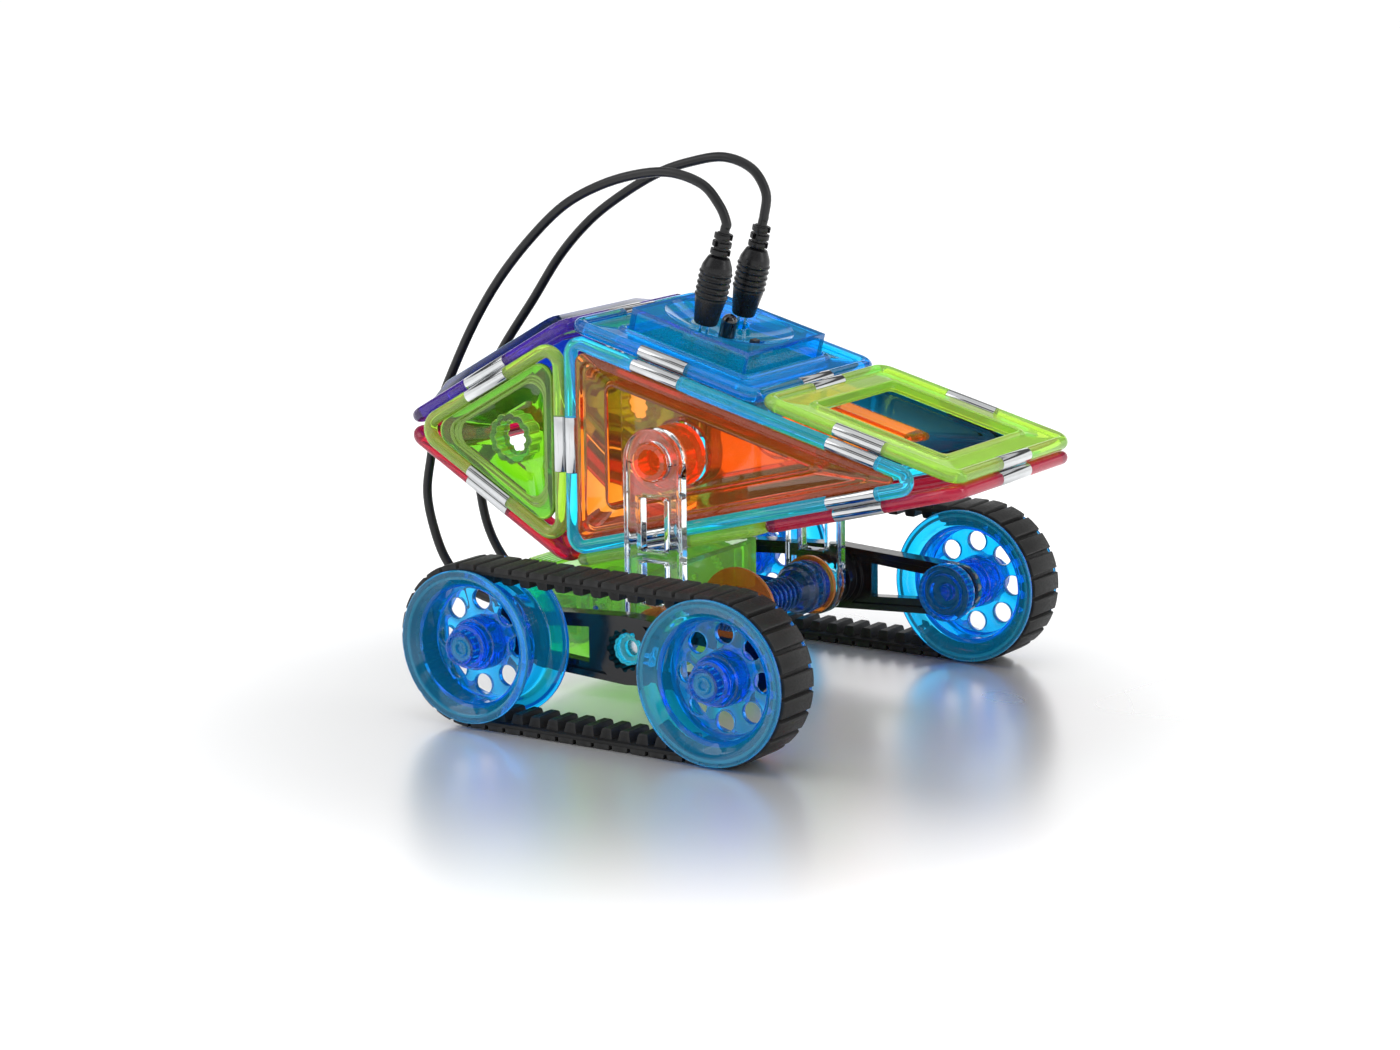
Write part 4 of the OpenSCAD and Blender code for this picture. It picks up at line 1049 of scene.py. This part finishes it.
def cable(hand, side, pieces):
    """Motor lead from the drive box's grommet up over the hull and down into its plug."""
    up = Vector((math.sin(NOSE_SLOPE), math.cos(NOSE_SLOPE)))
    along = Vector((math.cos(NOSE_SLOPE), -math.sin(NOSE_SLOPE)))
    top = Vector((0, HULL_Z - AXLE_Z + HALF)) + PLUG_S * along + PLUG_TOP * up
    inlet = Vector((-GROMMET_REACH, GROMMET_Z))
    points = [top, top + 1.5 * up, top + 3 * up] + [Vector(p) for p in ROUTES[hand]]
    points += [inlet - Vector((3, 0)), inlet - Vector((1.5, 0)), inlet]
    steps = 6
    path = [route_point(points, i, k / steps) for i in range(len(points) - 1) for k in range(steps)]
    path = (path + [points[-1]])[::-1]
    places = [Vector((p.x + SIDE_X, side * PLUG_Y, p.y + AXLE_Z)) * MM for p in path]
    curve = bpy.data.curves.new(f"cable_{hand}_line", "CURVE")
    curve.dimensions = "3D"
    curve.bevel_depth = CABLE_R * MM
    curve.bevel_resolution = 6
    curve.use_fill_caps = True
    spline = curve.splines.new("POLY")
    spline.points.add(len(places) - 1)
    for point, place in zip(spline.points, places):
        point.co = (*place, 1)
    spline.use_smooth = True
    curve.materials.append(LOOKS["cable_sheath"])
    piece = bpy.data.objects.new(f"cable_{hand}_lead", curve)
    bpy.context.scene.collection.objects.link(piece)
    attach(piece, "root")
    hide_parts(f"cable_{hand}")


for hand, hand_side in SIDES.items():
    cable(hand, hand_side, plug(hand, hand_side))


# ---- carried-over CAD nodes ----
BEVELS = {
    "receiver_cover": 0.35, "receiver_case": 0.35, "battery_door": 0.3, "drive_box_lower": 0.5,
    "drive_box_upper": 0.5, "hull_link_right": 0.9, "hull_link_left": 0.9, "link_bushes": 0.4,
    "axle_rings": 0.25, "track_beam_right": 0.3, "track_beam_left": 0.3, "circuit_board": 0.15,
    "power_switch": 0.2, "battery_cells": 0.4, "motor_right": 0.5, "motor_left": 0.5, "cable_grommets": 0.3,
    "case_screws": 0.15, "box_screws": 0.15,
}
# Bevel faces of these slots take a glowing copy of their plastic: painted edge light.
PAINTED_GLOW_EDGES = {"blue_housing": "blue_painted_glow", "lime_box": "lime_painted_glow", "orange_bush": "orange_painted_glow"}
slot_of = {row["node"]: row["material_slot"] for row in frame["record"]["subparts"]}
for node_name, piece in nodes.items():
    for material_slot in piece.material_slots:
        material_slot.material = LOOKS[slot_of[node_name]]
    if node_name in BEVELS:
        weld = piece.modifiers.new("weld", "WELD")
        weld.merge_threshold = 1e-6
        bevel = piece.modifiers.new("soft_edges", "BEVEL")
        bevel.width = BEVELS[node_name] * MM
        bevel.segments = 2
        bevel.limit_method = "ANGLE"
        bevel.angle_limit = math.radians(35)
        bevel.harden_normals = True
        if slot_of[node_name] in PAINTED_GLOW_EDGES:
            piece.data.materials.append(LOOKS[PAINTED_GLOW_EDGES[slot_of[node_name]]])
            bevel.material = len(piece.data.materials) - 1


# ---- studio ----
def floor():
    """Wide white floor: polished near the rover, fading to plain white paper further out."""
    reach = 6.0
    under_rover = (0, 0.03, 0)
    polished, matt = 0.09, 0.29
    mesh = bpy.data.meshes.new("studio_floor")
    mesh.from_pydata([(-reach, -reach, 0), (reach, -reach, 0), (reach, reach, 0), (-reach, reach, 0)], [],
                     [(0, 1, 2, 3)])
    g = Graph("studio_floor")
    shader = g.add("ShaderNodeBsdfPrincipled")
    shader.inputs["Base Color"].default_value = (0.93, 0.935, 0.94, 1)
    centre = g.add("ShaderNodeMapping")
    g.link(g.place, centre.inputs["Vector"])
    away = g.add("ShaderNodeVectorMath", operation="LENGTH")
    g.link(centre.outputs[0], away.inputs[0])
    fade = g.add("ShaderNodeMapRange", interpolation_type="SMOOTHSTEP")
    centre.inputs["Location"].default_value = under_rover
    fade.inputs["From Min"].default_value = polished
    fade.inputs["From Max"].default_value = matt
    fade.inputs["To Min"].default_value = 0.78
    fade.inputs["To Max"].default_value = 0.0
    g.link(away.outputs["Value"], fade.inputs["Value"])
    g.link(fade.outputs["Result"], shader.inputs["Metallic"])
    g.link(g.spread(g.noise(3, 3), 0.26, 0.32), shader.inputs["Roughness"])
    mesh.materials.append(g.surface(shader.outputs[0]))
    piece = bpy.data.objects.new("studio_floor", mesh)
    bpy.context.scene.collection.objects.link(piece)


def studio_world():
    """Soft even light for matt surfaces and banded walls for shiny ones; the camera sees plain white."""
    world = bpy.data.worlds.new("studio")
    world.use_nodes = True
    tree = world.node_tree
    tree.nodes.clear()
    link = tree.links.new
    coord = tree.nodes.new("ShaderNodeTexCoord")
    parts = tree.nodes.new("ShaderNodeSeparateXYZ")
    link(coord.outputs["Generated"], parts.inputs[0])
    ramp = tree.nodes.new("ShaderNodeValToRGB")
    link(parts.outputs["Z"], ramp.inputs["Fac"])
    stops = [(0.0, 1.3), (0.27, 1.3), (0.33, 0.10), (0.47, 0.10), (0.50, 0.85), (0.60, 0.85), (0.64, 0.12),
             (0.82, 0.16), (0.86, 1.15), (1.0, 0.9)]
    ends = ramp.color_ramp.elements
    while len(ends) < len(stops):
        ends.new(0.5)
    for end, (place, value) in zip(ends, stops):
        end.position = place
        end.color = (value, value, value, 1)
    path = tree.nodes.new("ShaderNodeLightPath")
    colour = ramp.outputs["Color"]
    for kind, value in (("Is Diffuse Ray", 1.15), ("Is Camera Ray", 1.1)):
        shown = tree.nodes.new("ShaderNodeMix")
        shown.data_type = "RGBA"
        shown.inputs["B"].default_value = (value, value, value, 1)
        link(path.outputs[kind], shown.inputs["Factor"])
        link(colour, shown.inputs["A"])
        colour = shown.outputs["Result"]
    background = tree.nodes.new("ShaderNodeBackground")
    link(colour, background.inputs["Color"])
    out = tree.nodes.new("ShaderNodeOutputWorld")
    link(background.outputs[0], out.inputs["Surface"])
    bpy.context.scene.world = world


def softbox(name, azimuth, elevation, distance, width, height, power, shows):
    """Area light that faces the object from the given direction; shows keeps it in reflections."""
    a, e = math.radians(azimuth), math.radians(elevation)
    back = Vector((math.sin(a) * math.cos(e), -math.cos(a) * math.cos(e), math.sin(e)))
    data = bpy.data.lights.new(name, "AREA")
    data.shape = "RECTANGLE"
    data.size = width
    data.size_y = height
    data.energy = power
    lamp = bpy.data.objects.new(name, data)
    lamp.location = Vector((0, 0, 0.08)) + back * distance
    lamp.visible_glossy = shows
    lamp.rotation_mode = "QUATERNION"
    lamp.rotation_quaternion = (-back).to_track_quat("-Z", "Y")
    bpy.context.scene.collection.objects.link(lamp)


floor()
studio_world()
softbox("ceiling_light", 0, 85, 1.2, 1.0, 0.6, 9, False)
softbox("left_light", -50, 40, 1.2, 0.7, 0.7, 3, True)
softbox("right_light", 100, 30, 1.2, 0.25, 0.9, 3, True)
bpy.context.scene.view_settings.view_transform = "Standard"
